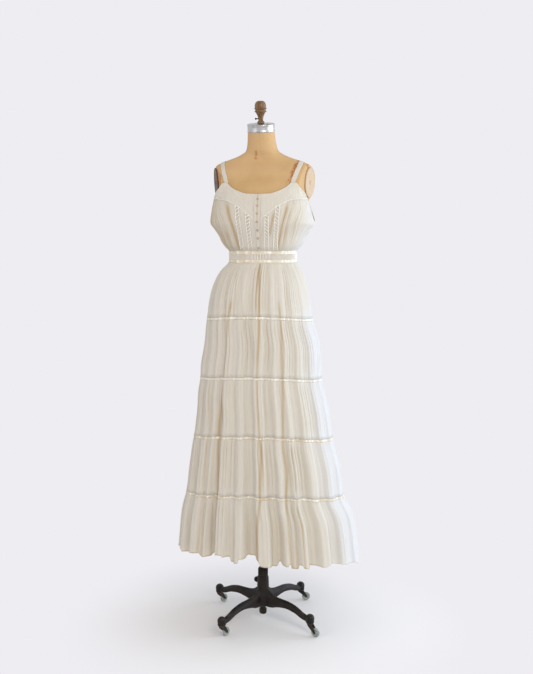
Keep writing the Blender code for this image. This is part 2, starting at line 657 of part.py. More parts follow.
def build_neck():
    band_radius, band_height = 0.0482, 0.026
    cap = [(0, band_height + .002), (.0462, band_height), (band_radius, band_height - .002),
           (band_radius, 0), (0, 0)]
    turned("neck_cap", cap, NICKEL, PARTS, 26, neck_point(0), NECK_TILT)
    foot = band_height + 0.0024
    length = (TOTAL_HEIGHT - neck_point(0).z) / math.cos(NECK_TILT) - foot
    # Turned knob: radius, and height as a share of its length, top to bottom
    knob = [(0, 1), (.011, .985), (.0175, .90), (.0200, .76), (.0195, .68), (.0222, .655), (.0192, .63),
            (.0188, .545), (.0212, .52), (.0175, .495), (.0095, .25), (.0085, .12), (.0125, .05),
            (.0125, 0), (0, 0)]
    turned("neck_finial", [(r, h * length) for r, h in knob], WALNUT, PARTS, 14, neck_point(foot), NECK_TILT)
    screw_radius, screw_length = 0.0022, 0.012
    reach = 0.0095 + SEAM_GAP
    shape = bmesh.new()
    bmesh.ops.create_cone(shape, cap_ends=True, segments=8, radius1=screw_radius, radius2=screw_radius * 1.5,
                          depth=screw_length)
    mesh = bpy.data.meshes.new("finial_screw")
    shape.to_mesh(mesh)
    shape.free()
    item = add_object("finial_screw", mesh, IRON, PARTS)
    item.location = neck_point(foot + 0.20 * length) + Vector((-reach - screw_length / 2, 0, 0))
    item.rotation_euler.y = -math.pi / 2


def build_arm_plates():
    half_height, half_depth, thickness = 0.054, 0.040, 0.005
    for hand, sign in (("left", -1), ("right", 1)):
        outward = Vector((1, -ARM_FLAT_PER_Y, -ARM_FLAT_PER_Z)).normalized()
        outward.x *= sign
        up = (Vector((0, 0, 1)) - outward * outward.z).normalized()
        side = up.cross(outward)
        middle = Vector((AXIS_X + sign * arm_flat(0, ARM_FLAT_Z), 0, ARM_FLAT_Z + .002))
        middle += outward * (thickness / 2 + SEAM_GAP)
        shape = bmesh.new()
        bmesh.ops.create_cone(shape, cap_ends=True, segments=20, radius1=1, radius2=0.96, depth=thickness)
        bmesh.ops.scale(shape, verts=shape.verts, vec=(half_depth, half_height, 1))
        mesh = bpy.data.meshes.new(f"arm_plate_{hand}")
        shape.to_mesh(mesh)
        shape.free()
        item = add_object(f"arm_plate_{hand}", mesh, PLATE, PARTS)
        turn = Matrix((side, up, outward)).transposed()
        item.matrix_world = Matrix.Translation(middle) @ turn.to_4x4()


# Stand

def polar(out, angle_deg, z=0.0):
    angle = math.radians(angle_deg)
    return Vector((AXIS_X + out * math.cos(angle), out * math.sin(angle), z))


def cylinder(name, radius, low, high, material, collection, segments, centre=(0, 0)):
    bpy.ops.mesh.primitive_cylinder_add(vertices=segments, radius=radius, depth=high - low,
                                        location=(centre[0], centre[1], (low + high) / 2))
    item = bpy.context.object
    item.name = name
    item.data.name = name
    for owner in list(item.users_collection):
        owner.objects.unlink(item)
    collection.objects.link(item)
    if material is not None:
        item.data.materials.append(material)
    item.data.shade_smooth()
    item.data.set_sharp_from_angle(angle=math.radians(35))
    return item


def hide_cutter(item):
    item.hide_render = True
    item.display_type = "WIRE"


def combine(item, other, operation):
    change = item.modifiers.new(other.name, "BOOLEAN")
    change.operation = operation
    change.object = other
    change.solver = "EXACT"
    hide_cutter(other)


def leg_mesh(name):
    """A ridged leg along +X: a flat foot, sloping sides and a raised spine."""
    points, faces = [], []
    for leg in LEG:
        height = leg.top - leg.bottom
        for across, up in ((-.70, 0), (.70, 0), (1, .35), (.80, .72), (.30, 1), (-.30, 1), (-.80, .72),
                           (-1, .35)):
            points.append((leg.out, across * leg.half_width, leg.bottom + up * height))
    n = 8
    for r in range(len(LEG) - 1):
        for c in range(n):
            faces.append((r * n + c, r * n + (c + 1) % n, (r + 1) * n + (c + 1) % n, (r + 1) * n + c))
    faces.append(tuple(range(n)))
    faces.append(tuple(range((len(LEG) - 1) * n, len(LEG) * n)))
    return mesh_from_faces(name, points, faces)


def build_base():
    """One casting: hub, four arched legs and a caster socket at the end of each."""
    hub = [(0, .200), (.0160, .200), (.0178, .197), (.0178, .171), (.0205, .167), (.0216, .158),
           (.0222, .120), (.0265, .098), (.0265, .070), (.0200, .054), (0, .054)]
    base = turned("base_casting", hub, IRON, PARTS, 16, (AXIS_X, 0, 0))
    leg = leg_mesh("leg")
    socket = [(0, .0785), (.0080, .0770), (.0135, .0725), (SOCKET_RADIUS, .0650), (SOCKET_RADIUS, .0485),
              (.0145, SOCKET_BOTTOM), (0, SOCKET_BOTTOM)]
    for place, angle in LEG_ANGLES.items():
        arm = add_object(f"leg_{place}", leg, None, CUTTERS)
        arm.location = (AXIS_X, 0, 0)
        arm.rotation_euler.z = math.radians(angle)
        combine(base, arm, "UNION")
        spot = polar(LEG_REACH, angle)
        cup = turned(f"socket_{place}", socket, None, CUTTERS, 10, spot)
        combine(base, cup, "UNION")
    for place, angle in LEG_ANGLES.items():
        spot = polar(LEG_REACH, angle)
        hole = cylinder(f"stem_hole_{place}", STEM_BORE, SOCKET_BOTTOM - .01, .0690, None, CUTTERS, 8,
                        (spot.x, spot.y))
        combine(base, hole, "DIFFERENCE")
    bore = cylinder("pole_bore", BORE_RADIUS, .0640, .22, None, CUTTERS, 20, (AXIS_X, 0))
    combine(base, bore, "DIFFERENCE")
    cylinder("pole", POLE_RADIUS, POLE_BOTTOM, POLE_TOP, STEEL, PARTS, 20, (AXIS_X, 0))
    # Bolt and nut under the hub
    nut = [(0, .0537), (.0105, .0537), (.0105, .042), (.0135, .040), (.0138, .026), (.0115, .022), (0, .022)]
    turned("hub_nut", nut, IRON, PARTS, 12, (AXIS_X, 0, 0))
    build_clamp_screw()


def build_clamp_screw():
    """Thumb screw that clamps the pole, at the back left of the hub."""
    angle, height, reach = 130.0, 0.139, 0.0224
    knob = [(0, .030), (.0075, .029), (.0100, .025), (.0100, .019), (.0060, .016), (.0045, .015),
            (.0045, 0), (0, 0)]
    item = turned("clamp_screw", knob, IRON, PARTS, 12, polar(reach, angle, height))
    item.rotation_euler = (0, math.pi / 2, math.radians(angle))


def build_casters():
    for place, angle in LEG_ANGLES.items():
        swivel = bpy.data.objects.new(f"swivel_axis_{place}", None)
        PARTS.objects.link(swivel)
        swivel.location = polar(LEG_REACH, angle)
        swivel.rotation_euler.z = math.radians(TRAIL_ANGLES[place])
        build_fork(f"caster_fork_{place}", swivel)
        wheel = build_wheel(f"caster_wheel_{place}")
        wheel.parent = swivel
        wheel.location = (CASTER_TRAIL, 0, AXLE_HEIGHT)


def build_fork(name, swivel):
    """Bent plate with two arms, the stem in the socket and the axle through the wheel."""
    arm_gap, arm_thickness = WHEEL_WIDTH / 2 + 0.0007, 0.0016
    plate_top, plate_bottom = SOCKET_BOTTOM - 0.0005, SOCKET_BOTTOM - 0.0040
    outer = arm_gap + arm_thickness
    fork = cylinder(name, .0120, plate_bottom, plate_top, IRON, PARTS, 12)
    stem = cylinder(f"{name}_stem", STEM_RADIUS, plate_bottom + .001, .0680, None, CUTTERS, 8)
    axle = cylinder(f"{name}_axle", AXLE_RADIUS, -outer - .0008, outer + .0008, None, CUTTERS, 8)
    axle.rotation_euler.x = math.pi / 2
    axle.location = (CASTER_TRAIL, 0, AXLE_HEIGHT)
    pieces = [stem, axle]
    # Side view of an arm: along the trail, and height
    outline = [(-.0085, plate_top - .0008), (.0100, plate_top - .0008), (.0275, .0175), (.0270, .0125),
               (.0225, .0115), (.0195, .0140), (-.0060, .0360)]
    for hand, sign in (("a", -1), ("b", 1)):
        points = [(x, sign * y, z) for y in (arm_gap, outer) for x, z in outline]
        n = len(outline)
        faces = [tuple(range(n)), tuple(range(n, 2 * n))]
        faces += [(i, (i + 1) % n, n + (i + 1) % n, n + i) for i in range(n)]
        arm = f"{name}_arm_{hand}"
        pieces.append(add_object(arm, mesh_from_faces(arm, points, faces), None, CUTTERS))
    fork.parent = swivel
    for piece in pieces:
        piece.parent = swivel
        combine(fork, piece, "UNION")


def build_wheel(name):
    half = WHEEL_WIDTH / 2
    rim = [(AXLE_BORE, half), (.0144, half), (WHEEL_RADIUS, half - .0018), (WHEEL_RADIUS, -half + .0018),
           (.0144, -half), (AXLE_BORE, -half), (AXLE_BORE, half)]
    wheel = turned(name, rim, RUBBER, PARTS, WHEEL_SIDES)
    wheel.rotation_euler.x = math.pi / 2
    return wheel


clear_scene()
PARTS = make_collection("maxi_dress_on_dress_form")
CUTTERS = make_collection("cutters")
COTTON = make_material("cream_cotton", (.80, .76, .66), .85)
SATIN = make_material("cream_satin", (.86, .80, .66), .35)
LACE = make_material("cream_lace", (.84, .79, .68), .80)
SHELL = make_material("tan_button", (.52, .40, .24), .45)
LINEN = make_material("tan_linen", (.60, .42, .22), .80)
PLATE = make_material("arm_plate", (.30, .26, .21), .60)
NICKEL = make_material("nickel_band", (.75, .75, .74), .25, 1.0)
WALNUT = make_material("turned_wood", (.16, .09, .045), .50)
IRON = make_material("cast_iron", (.035, .028, .024), .45, .6)
STEEL = make_material("pole_steel", (.20, .19, .18), .40, .9)
RUBBER = make_material("wheel_grey", (.42, .44, .43), .50)

build_torso()
bpy.context.view_layer.update()
build_neck()
build_arm_plates()
build_skirt()
build_waist()
build_bodice()
build_placket()
build_straps()
build_base()
build_casters()
bpy.context.view_layer.update()
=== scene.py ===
"""Looks of a tiered maxi dress with thin straps, on a limbless dress form with a wheeled iron base.

The dress faces -Y and all lengths are in metres. Angles go round from the front (-Y) towards +X, in degrees.
Cloth is a grid of points, moved in and out by folds and gathers, with a thin Solidify.
"""
import math
from collections import namedtuple

import bmesh
import bpy
import numpy as np
from mathutils import Matrix, Vector
from mathutils.bvhtree import BVHTree


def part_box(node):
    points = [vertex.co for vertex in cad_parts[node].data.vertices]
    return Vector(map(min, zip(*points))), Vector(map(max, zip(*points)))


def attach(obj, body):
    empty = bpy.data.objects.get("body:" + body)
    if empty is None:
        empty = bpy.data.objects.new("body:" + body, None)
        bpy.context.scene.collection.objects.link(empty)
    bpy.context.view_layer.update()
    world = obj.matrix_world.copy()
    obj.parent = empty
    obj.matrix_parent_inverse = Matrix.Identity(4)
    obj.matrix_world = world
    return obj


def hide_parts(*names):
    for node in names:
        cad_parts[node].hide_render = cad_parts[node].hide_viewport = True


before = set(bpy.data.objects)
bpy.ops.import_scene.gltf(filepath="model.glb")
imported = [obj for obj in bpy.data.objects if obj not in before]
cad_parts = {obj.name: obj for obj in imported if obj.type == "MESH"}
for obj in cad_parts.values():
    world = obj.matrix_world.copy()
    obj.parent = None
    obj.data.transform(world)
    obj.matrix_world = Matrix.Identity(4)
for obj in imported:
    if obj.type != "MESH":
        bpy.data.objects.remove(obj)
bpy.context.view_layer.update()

# Sizes shared with the solids
TOTAL_HEIGHT = 1.900
AXIS_X = -0.018
SEAM_GAP = 0.0003
STRAP_WIDTH = 0.015
STRAP_CENTRE_HEIGHT = 1.560
RIBBON_HEIGHT = 0.009
WAIST_BOTTOM = 1.337
WAIST_LOWER_RIBBON = 0.0125
WAIST_LACE = 0.0185
WAIST_UPPER_RIBBON = 0.0105
WAIST_TOP = WAIST_BOTTOM + WAIST_LOWER_RIBBON + WAIST_LACE + WAIST_UPPER_RIBBON + 2 * SEAM_GAP
PLACKET_HALF_WIDTH = 0.011
LACE_WIDTH = 0.016
POLE_RADIUS = 0.011
POLE_BOTTOM = 0.135
POLE_TOP = 1.155
BORE_RADIUS = 0.0117
LEG_REACH = 0.2248
WHEEL_RADIUS = 0.01576
CASTER_TRAIL = 0.024
SOCKET_RADIUS = 0.016
STEM_BORE = 0.0044
AXLE_BORE = 0.0028
CLOTH = 0.0005            # thickness of the shown cloth

Torso = namedtuple("Torso", "z half_width front back power lean dip", defaults=(0, 0))
TORSO = [
    Torso(1.040, .145, .098, .104, 2.3),
    Torso(1.110, .150, .101, .109, 2.3),
    Torso(1.180, .147, .099, .107, 2.3),
    Torso(1.240, .138, .096, .102, 2.3),
    Torso(1.295, .124, .093, .094, 2.4),
    Torso(1.335, .1185, .093, .091, 2.4),
    Torso(1.383, .1185, .093, .091, 2.4),
    Torso(1.420, .124, .102, .092, 2.4),
    Torso(1.455, .135, .118, .095, 2.4),
    Torso(1.490, .146, .130, .098, 2.4),
    Torso(1.525, .153, .130, .100, 2.4),
    Torso(1.555, .163, .121, .102, 2.4),
    Torso(1.580, .176, .112, .103, 2.8),
    Torso(1.620, .184, .094, .101, 3.0),
    Torso(1.660, .184, .073, .091, 3.0),
    Torso(1.680, .172, .058, .079, 2.6),
    Torso(1.698, .132, .046, .062, 2.3, -.003, .00),
    Torso(1.714, .088, .046, .056, 2.0, -.007, .02),
    Torso(1.733, .0575, .050, .053, 2.0, -.014, .06),
    Torso(1.765, .050, .048, .049, 2.0, -.028, .14),
    Torso(1.797, .047, .047, .047, 2.0, -.042, .21),
]
ARM_FLAT_X = 0.1665
ARM_FLAT_Z = 1.620
ARM_FLAT_PER_Y = 0.34
ARM_FLAT_PER_Z = 0.075
ARM_FLAT_BOTTOM = 1.550
NECK_TILT = math.radians(12)

Bodice = namedtuple("Bodice", "z half_width front back power")
BODICE = [
    Bodice(1.3800, .1212, .0957, .0937, 2.40),
    Bodice(1.3925, .1340, .1080, .1030, 2.45),
    Bodice(1.4110, .1470, .1150, .1070, 2.50),
    Bodice(1.4320, .1560, .1230, .1090, 2.55),
    Bodice(1.4540, .1700, .1315, .1110, 2.60),
    Bodice(1.4800, .1860, .1395, .1130, 2.70),
    Bodice(1.5000, .1840, .1415, .1150, 2.80),
    Bodice(1.5300, .1790, .1385, .1170, 2.90),
    Bodice(1.5600, .1750, .1280, .1190, 2.90),
    Bodice(1.5900, .1740, .1150, .1190, 2.90),
    Bodice(1.6200, .1780, .1015, .1170, 2.90),
]
EDGE_POWER = 2.9
BODICE_REACH = 0.175
FRONT_EDGE = [(0, 1.577), (.040, 1.579), (.070, 1.588), (.095, 1.601), (.106, 1.612), (.110, 1.617),
              (.125, 1.617), (.142, 1.600), (.157, 1.584), (.166, 1.565), (.1725, 1.525), (.175, 1.486)]
BACK_EDGE = [(0, 1.600), (.060, 1.601), (.095, 1.605), (.110, 1.610), (.126, 1.610), (.145, 1.585),
             (.160, 1.545), (.170, 1.505), (.175, 1.486)]
YOKE_SEAM = [(.011, 1.484), (.0175, 1.493), (.030, 1.505), (.047, 1.518), (.063, 1.531),
             (.088, 1.545), (.109, 1.555), (.140, 1.560), (.163, 1.563)]
YOKE_SHARE = 17 / 24      # of the front's angles, the part that lies under the yoke
LACE_X = (.035, .072)
LACE_LEAN = 0.80          # a strip's distance from the middle at the waist, as a share of that at the top

Skirt = namedtuple("Skirt", "z half_width shift front back power")
SKIRT = [
    Skirt(1.337, .1212, .0000, .0957, .0937, 2.40),
    Skirt(1.303, .147, -.007, .112, .109, 2.40),
    Skirt(1.2595, .1665, -.010, .126, .122, 2.35),
    Skirt(1.216, .177, -.012, .135, .130, 2.30),
    Skirt(1.172, .186, -.011, .141, .136, 2.25),
    Skirt(1.132, .191, -.0115, .145, .140, 2.20),
    Skirt(1.041, .209, -.0035, .153, .149, 2.10),
    Skirt(.952, .220, -.0075, .159, .155, 2.05),
    Skirt(.9155, .221, -.008, .161, .157, 2.05),
    Skirt(.864, .231, -.006, .166, .162, 2.05),
    Skirt(.774, .2445, .000, .172, .169, 2.00),
    Skirt(.699, .255, .000, .177, .174, 2.00),
    Skirt(.594, .277, .005, .185, .182, 2.00),
    Skirt(.488, .292, .006, .191, .189, 2.00),
    Skirt(.411, .318, .014, .200, .198, 2.00),
    Skirt(.320, .331, .017, .210, .208, 2.00),
    Skirt(.262, .338, .018, .216, .214, 2.00),
]
Seam = namedtuple("Seam", "z lift")
SEAMS = [Seam(1.133, .015), Seam(.9155, .020), Seam(.699, .028), Seam(.488, .027)]
HEM = Seam(.259, .038)
HEM_SLOPE = -0.019
Dip = namedtuple("Dip", "angle half_width depth")
HEM_DIPS = [
    Dip(-41, 6, .008), Dip(-30, 8, -.006), Dip(-16.5, 5, .016), Dip(-6, 5, -.010), Dip(6, 9, .019),
    Dip(16, 3, .009), Dip(22.5, 4, .018), Dip(30, 4, .009), Dip(62, 26, -.012), Dip(-62, 8, .006),
    Dip(104, 9, .010), Dip(130, 7, .018), Dip(148, 6, .014), Dip(170, 8, .020), Dip(-164, 6, .016),
    Dip(-144, 7, .018), Dip(-122, 8, .010),
]
Fold = namedtuple("Fold", "angle half_width depth")
FOLDS = [
    Fold(-77, 7, .016), Fold(-60, 8, .023), Fold(-45, 6, .014), Fold(-35, 7, .034), Fold(-20, 6, .017),
    Fold(-6, 7, .032), Fold(11, 7, .030), Fold(23, 6, .018), Fold(36, 7, .026), Fold(53, 8, .025),
    Fold(70, 8, .018), Fold(103, 8, .022), Fold(121, 7, .028), Fold(138, 7, .020), Fold(155, 8, .032),
    Fold(173, 7, .024), Fold(-170, 7, .018), Fold(-151, 8, .033), Fold(-132, 7, .022), Fold(-112, 8, .027),
]
FOLD_GROWTH = [(.262, 1), (.370, .90), (.488, .64), (.600, .60), (.699, .48), (.820, .44), (.9155, .34),
               (1.030, .30), (1.132, .20), (1.300, .08), (1.337, 0)]
# Gathers of each tier all round: fine puckers that start at the seam, the main gathers and soft broad folds
Tier = namedtuple("Tier", "name fine main soft depth puff seed")
TIERS = [
    Tier("tier_1", 236, 112, 34, .0030, .0004, 11),
    Tier("tier_2", 244, 104, 30, .0032, .0012, 23),
    Tier("tier_3", 250, 104, 30, .0034, .0012, 37),
    Tier("tier_4", 256, 108, 32, .0036, .0016, 41),
    Tier("tier_5", 260, 110, 32, .0038, .0020, 59),
]
# Painted shade of narrow tan creases that run down the front through the tiers, in colour only with no change
# to the cloth's shape, as heights and bearings from the form's axis
PaintedCrease = namedtuple("PaintedCrease", "line half_width strength")
PAINTED_CREASES = [
    PaintedCrease([(.26, 3), (.40, 2), (.52, 5), (.66, 6), (.75, 4), (.92, 1), (.95, 1), (1.12, 3), (1.33, 2)],
           3.2, .62),
    PaintedCrease([(.26, -40), (.48, -44), (.60, -46), (.75, -47), (.92, -42), (1.13, -39), (1.20, -37)], 3.4, .60),
    PaintedCrease([(.26, 34), (.50, 32), (.60, 34), (.70, 31), (.92, 32), (1.13, 32), (1.20, 30)], 3.2, .55),
    PaintedCrease([(.30, -58), (.50, -57), (.73, -57), (.92, -60)], 2.6, .26),
    PaintedCrease([(.95, -17), (1.13, -19), (1.31, -28)], 2.2, .34),
    PaintedCrease([(1.13, -32), (1.22, -32), (1.31, -38)], 2.2, .34),
    PaintedCrease([(1.13, -45), (1.31, -48)], 2.4, .34),
    PaintedCrease([(1.14, 15), (1.33, 18)], 2.2, .34),
    PaintedCrease([(1.14, 41), (1.26, 43)], 2.4, .30),
    PaintedCrease([(1.14, 57), (1.26, 58)], 2.4, .24),
    PaintedCrease([(1.00, -2), (1.16, -3), (1.33, -4)], 24, .15),
]
LIT_SIDE = 80             # where the cloth is palest and its gathers are softest
LIT_WIDTH = 50
SOFT_SHARE = 0.45         # depth of the soft folds, as a share of the main gathers' depth
FINE_DEPTH = 0.0015       # depth of the fine puckers under a seam
TIER_COLUMNS = 1060       # columns all round
TIER_ROWS = 16
# Stretches of cloth from seam to seam, in degrees. The two lowest tiers are four widths, and two of their
# seams lie inside folds.
HALVES = {"front": (-90, 90), "back": (90, 270)}
WIDE_TIERS = 2
WIDTHS = {"front_left": (-90, -6), "front_right": (-6, 90), "back_right": (90, 174), "back_left": (174, 270)}

Leg = namedtuple("Leg", "out top bottom half_width")
LEG = [
    Leg(.0145, .126, .056, .0120),
    Leg(.028, .119, .054, .0120),
    Leg(.046, .107, .056, .0122),
    Leg(.075, .101, .065, .0125),
    Leg(.118, .099, .071, .0125),
    Leg(.155, .092, .066, .0120),
    Leg(.195, .075, .052, .0115),
    Leg(.216, .068, .049, .0112),
]
LEG_ANGLES = {"front_right": -32.9, "back_right": 57.1, "back_left": 147.1, "front_left": 237.1}
TRAIL_ANGLES = {"front_right": -31, "back_right": 32, "back_left": 57, "front_left": 61}


# Shapes

def curve(points, at):
    """Smooth values through points (x rising), with no overshoot."""
    xs, ys = np.array(points, float).T
    steps = np.diff(xs)
    rates = np.diff(ys) / steps
    slopes = np.concatenate([rates[:1], np.zeros(len(xs) - 2), rates[-1:]])
    before, after = rates[:-1], rates[1:]
    same = before * after > 0
    slopes[1:-1][same] = 2 * before[same] * after[same] / (before[same] + after[same])
    at = np.clip(at, xs[0], xs[-1])
    i = np.clip(np.searchsorted(xs, at) - 1, 0, len(xs) - 2)
    t = (at - xs[i]) / steps[i]
    rise = ys[i + 1] - ys[i]
    return (ys[i] + rise * t * t * (3 - 2 * t)
            + steps[i] * t * (1 - t) * (slopes[i] * (1 - t) - slopes[i + 1] * t))


def column(table, z, field):
    """Value of a named column at heights, from a table of sections."""
    rows = sorted(table, key=lambda row: row.z)
    return curve([(row.z, getattr(row, field)) for row in rows], z)


def section(angle, half_width, front, back, power):
    across, along = np.sin(np.radians(angle)), np.cos(np.radians(angle))
    x = np.sign(across) * np.abs(across) ** (2 / power) * half_width
    y = -np.sign(along) * np.abs(along) ** (2 / power) * np.where(along > 0, front, back)
    return x, y


def table_section(table, angle, z, proud=0.0):
    """Section of a table at angles and heights, grown outwards by a distance."""
    sizes = [column(table, z, field) + proud for field in ("half_width", "front", "back")]
    return section(angle, *sizes, column(table, z, "power"))


def bump(angle, centre, half_width):
    away = np.abs((angle - centre + 180) % 360 - 180) / half_width
    return np.cos(np.minimum(away, 1) * np.pi / 2) ** 2


def smooth_step(value, low, high):
    t = np.clip((value - low) / (high - low), 0, 1)
    return t * t * (3 - 2 * t)


def wander(angle, seed, cycles):
    """Smooth noise that closes on itself all round, mostly between -1 and 1."""
    draw = np.random.default_rng(seed)
    total = 0
    for k in range(1, cycles + 1):
        total = total + draw.normal() * np.cos(np.radians(k * angle) + draw.uniform(0, 2 * math.pi))
    return total / math.sqrt(cycles)


def gathers(angle, count, seed, sharp=1.4):
    """Rounded ridges and narrower valleys of uneven width all round: 0 on a ridge, about 1 in a valley."""
    phase = np.radians(count * angle) + 1.5 * wander(angle, seed, max(3, count // 4))
    strength = np.clip(0.65 + 0.5 * wander(angle, seed + 1, max(3, count // 5)), .12, 1.3)
    return strength * (0.5 - 0.5 * np.cos(phase)) ** sharp


def spread(columns, rows):
    """Two grids of values: one changes from column to column, the other from row to row."""
    return np.broadcast_arrays(columns[None, :], rows[:, None])


def all_round(count):
    return np.arange(count) * 360 / count - 90


def distances(points):
    """Distance of each point along a line of points, from its start."""
    return np.concatenate([[0], np.cumsum(np.linalg.norm(np.diff(points, axis=0), axis=1))])


def length_of(points):
    return float(np.linalg.norm(np.diff(points, axis=0), axis=1).sum())


def grid_faces(rows, columns, closed=False, keep=None):
    """Row and column of each face of a grid, and the numbers of its four points."""
    spans = columns if closed else columns - 1
    r, c = np.meshgrid(np.arange(rows - 1), np.arange(spans), indexing="ij")
    if keep is not None:
        r, c = r[keep], c[keep]
    r, c = r.ravel(), c.ravel()
    after = (c + 1) % columns
    corners = [r * columns + c, r * columns + after, (r + 1) * columns + after, (r + 1) * columns + c]
    return r, c, np.stack(corners, axis=1)


def grid_mesh(name, points, closed=False, keep=None, shade_and_tint=None):
    """Quads over a grid of points. Rows go up and columns go round to the right, so faces point out."""
    rows, columns = points.shape[:2]
    r, c, corners = grid_faces(rows, columns, closed, keep)
    used, faces = np.unique(corners, return_inverse=True)
    mesh = bpy.data.meshes.new(name)
    mesh.from_pydata(points.reshape(-1, 3)[used].tolist(), [], faces.reshape(-1, 4).tolist())
    # The cloth's own coordinates in metres: along the middle row and up the middle column
    middle_row = points[rows // 2]
    if closed:
        middle_row = np.concatenate([middle_row, middle_row[:1]])
    u, v = distances(middle_row), distances(points[:, columns // 2])
    corner_uv = [np.stack([u[c + right], v[r + up]], 1) for right, up in ((0, 0), (1, 0), (1, 1), (0, 1))]
    mesh.uv_layers.new(name="cloth").data.foreach_set("uv", np.stack(corner_uv, axis=1).ravel())
    # Painted shade and tint of each point for the cloth materials: painted shade in folds, painted light
    # below 0
    if shade_and_tint is not None:
        mesh.attributes.new("shade_and_tint", "FLOAT", "POINT").data.foreach_set("value", shade_and_tint.ravel()[used])
    mesh.shade_smooth()
    return mesh


def ray_target(points, closed=False):
    """The faces of a grid of points, to cast rays at."""
    _, _, faces = grid_faces(*points.shape[:2], closed)
    return BVHTree.FromPolygons(points.reshape(-1, 3).tolist(), faces.tolist())


def add_piece(name, mesh, body, slot, *nodes):
    piece = bpy.data.objects.new(name, mesh)
    bpy.context.scene.collection.objects.link(piece)
    mesh.materials.append(FINISHES[slot])
    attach(piece, body)
    if nodes:
        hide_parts(*nodes)
    return piece


def clean(mesh, smooth_angle=35):
    """Joins doubled points, drops empty faces and turns all faces outwards."""
    shape = bmesh.new()
    shape.from_mesh(mesh)
    bmesh.ops.remove_doubles(shape, verts=shape.verts, dist=1e-6)
    bmesh.ops.dissolve_degenerate(shape, edges=shape.edges, dist=1e-7)
    bmesh.ops.recalc_face_normals(shape, faces=shape.faces[:])
    shape.to_mesh(mesh)
    shape.free()
    mesh.shade_smooth()
    mesh.set_sharp_from_angle(angle=math.radians(smooth_angle))
    return mesh


def lathe(name, profile, segments, matrix, ridges=None):
    """A turned shape from (radius, height) points up its outer side. ridges = (count, depth, low, high)."""
    radius, height = np.array(profile, float).T
    turn = np.arange(segments) * 2 * np.pi / segments
    rim, up = (np.repeat(values[:, None], segments, axis=1) for values in (radius, height))
    if ridges:
        count, depth, low, high = ridges
        inside = (height > low) & (height < high)
        rim[inside] += depth * np.sign(np.cos(turn * count))[None, :]
    mesh = grid_mesh(name, np.stack([rim * np.cos(turn), rim * np.sin(turn), up], axis=-1), closed=True)
    mesh.transform(matrix)
    return clean(mesh)


def add_turned(name, profile, segments, matrix, body, slot, *nodes, ridges=None):
    return add_piece(name, lathe(name, profile, segments, matrix, ridges), body, slot, *nodes)


def rounded(profile):
    """A turned profile with its corners eased by a smooth curve through its points."""
    steps = 4
    points = np.array(profile, float)
    along = distances(points)
    at = np.unique(np.concatenate([np.linspace(a, b, steps) for a, b in zip(along[:-1], along[1:])]))
    return list(zip(*(curve(np.stack([along, values], 1), at) for values in points.T)))


def tube_mesh(name, path, radius):
    """A thin tube along a path, with closed ends."""
    sides = 6
    path = np.asarray(path, float)
    run = np.gradient(path, axis=0)
    run /= np.linalg.norm(run, axis=1)[:, None] + 1e-12
    away = np.where(np.abs(run[:, 2:3]) < .9, [[0, 0, 1.0]], [[0, 1.0, 0]])
    first = np.cross(run, away)
    first /= np.linalg.norm(first, axis=1)[:, None]
    second = np.cross(run, first)
    turn = np.arange(sides) * 2 * np.pi / sides
    ring = first[:, None] * np.cos(turn)[None, :, None] + second[:, None] * np.sin(turn)[None, :, None]
    start, end = (np.repeat(path[i][None, None], sides, axis=1) for i in (0, -1))
    grid = np.concatenate([start, path[:, None] + ring * radius, end])
    return clean(grid_mesh(name, grid, closed=True), 180)


# Materials

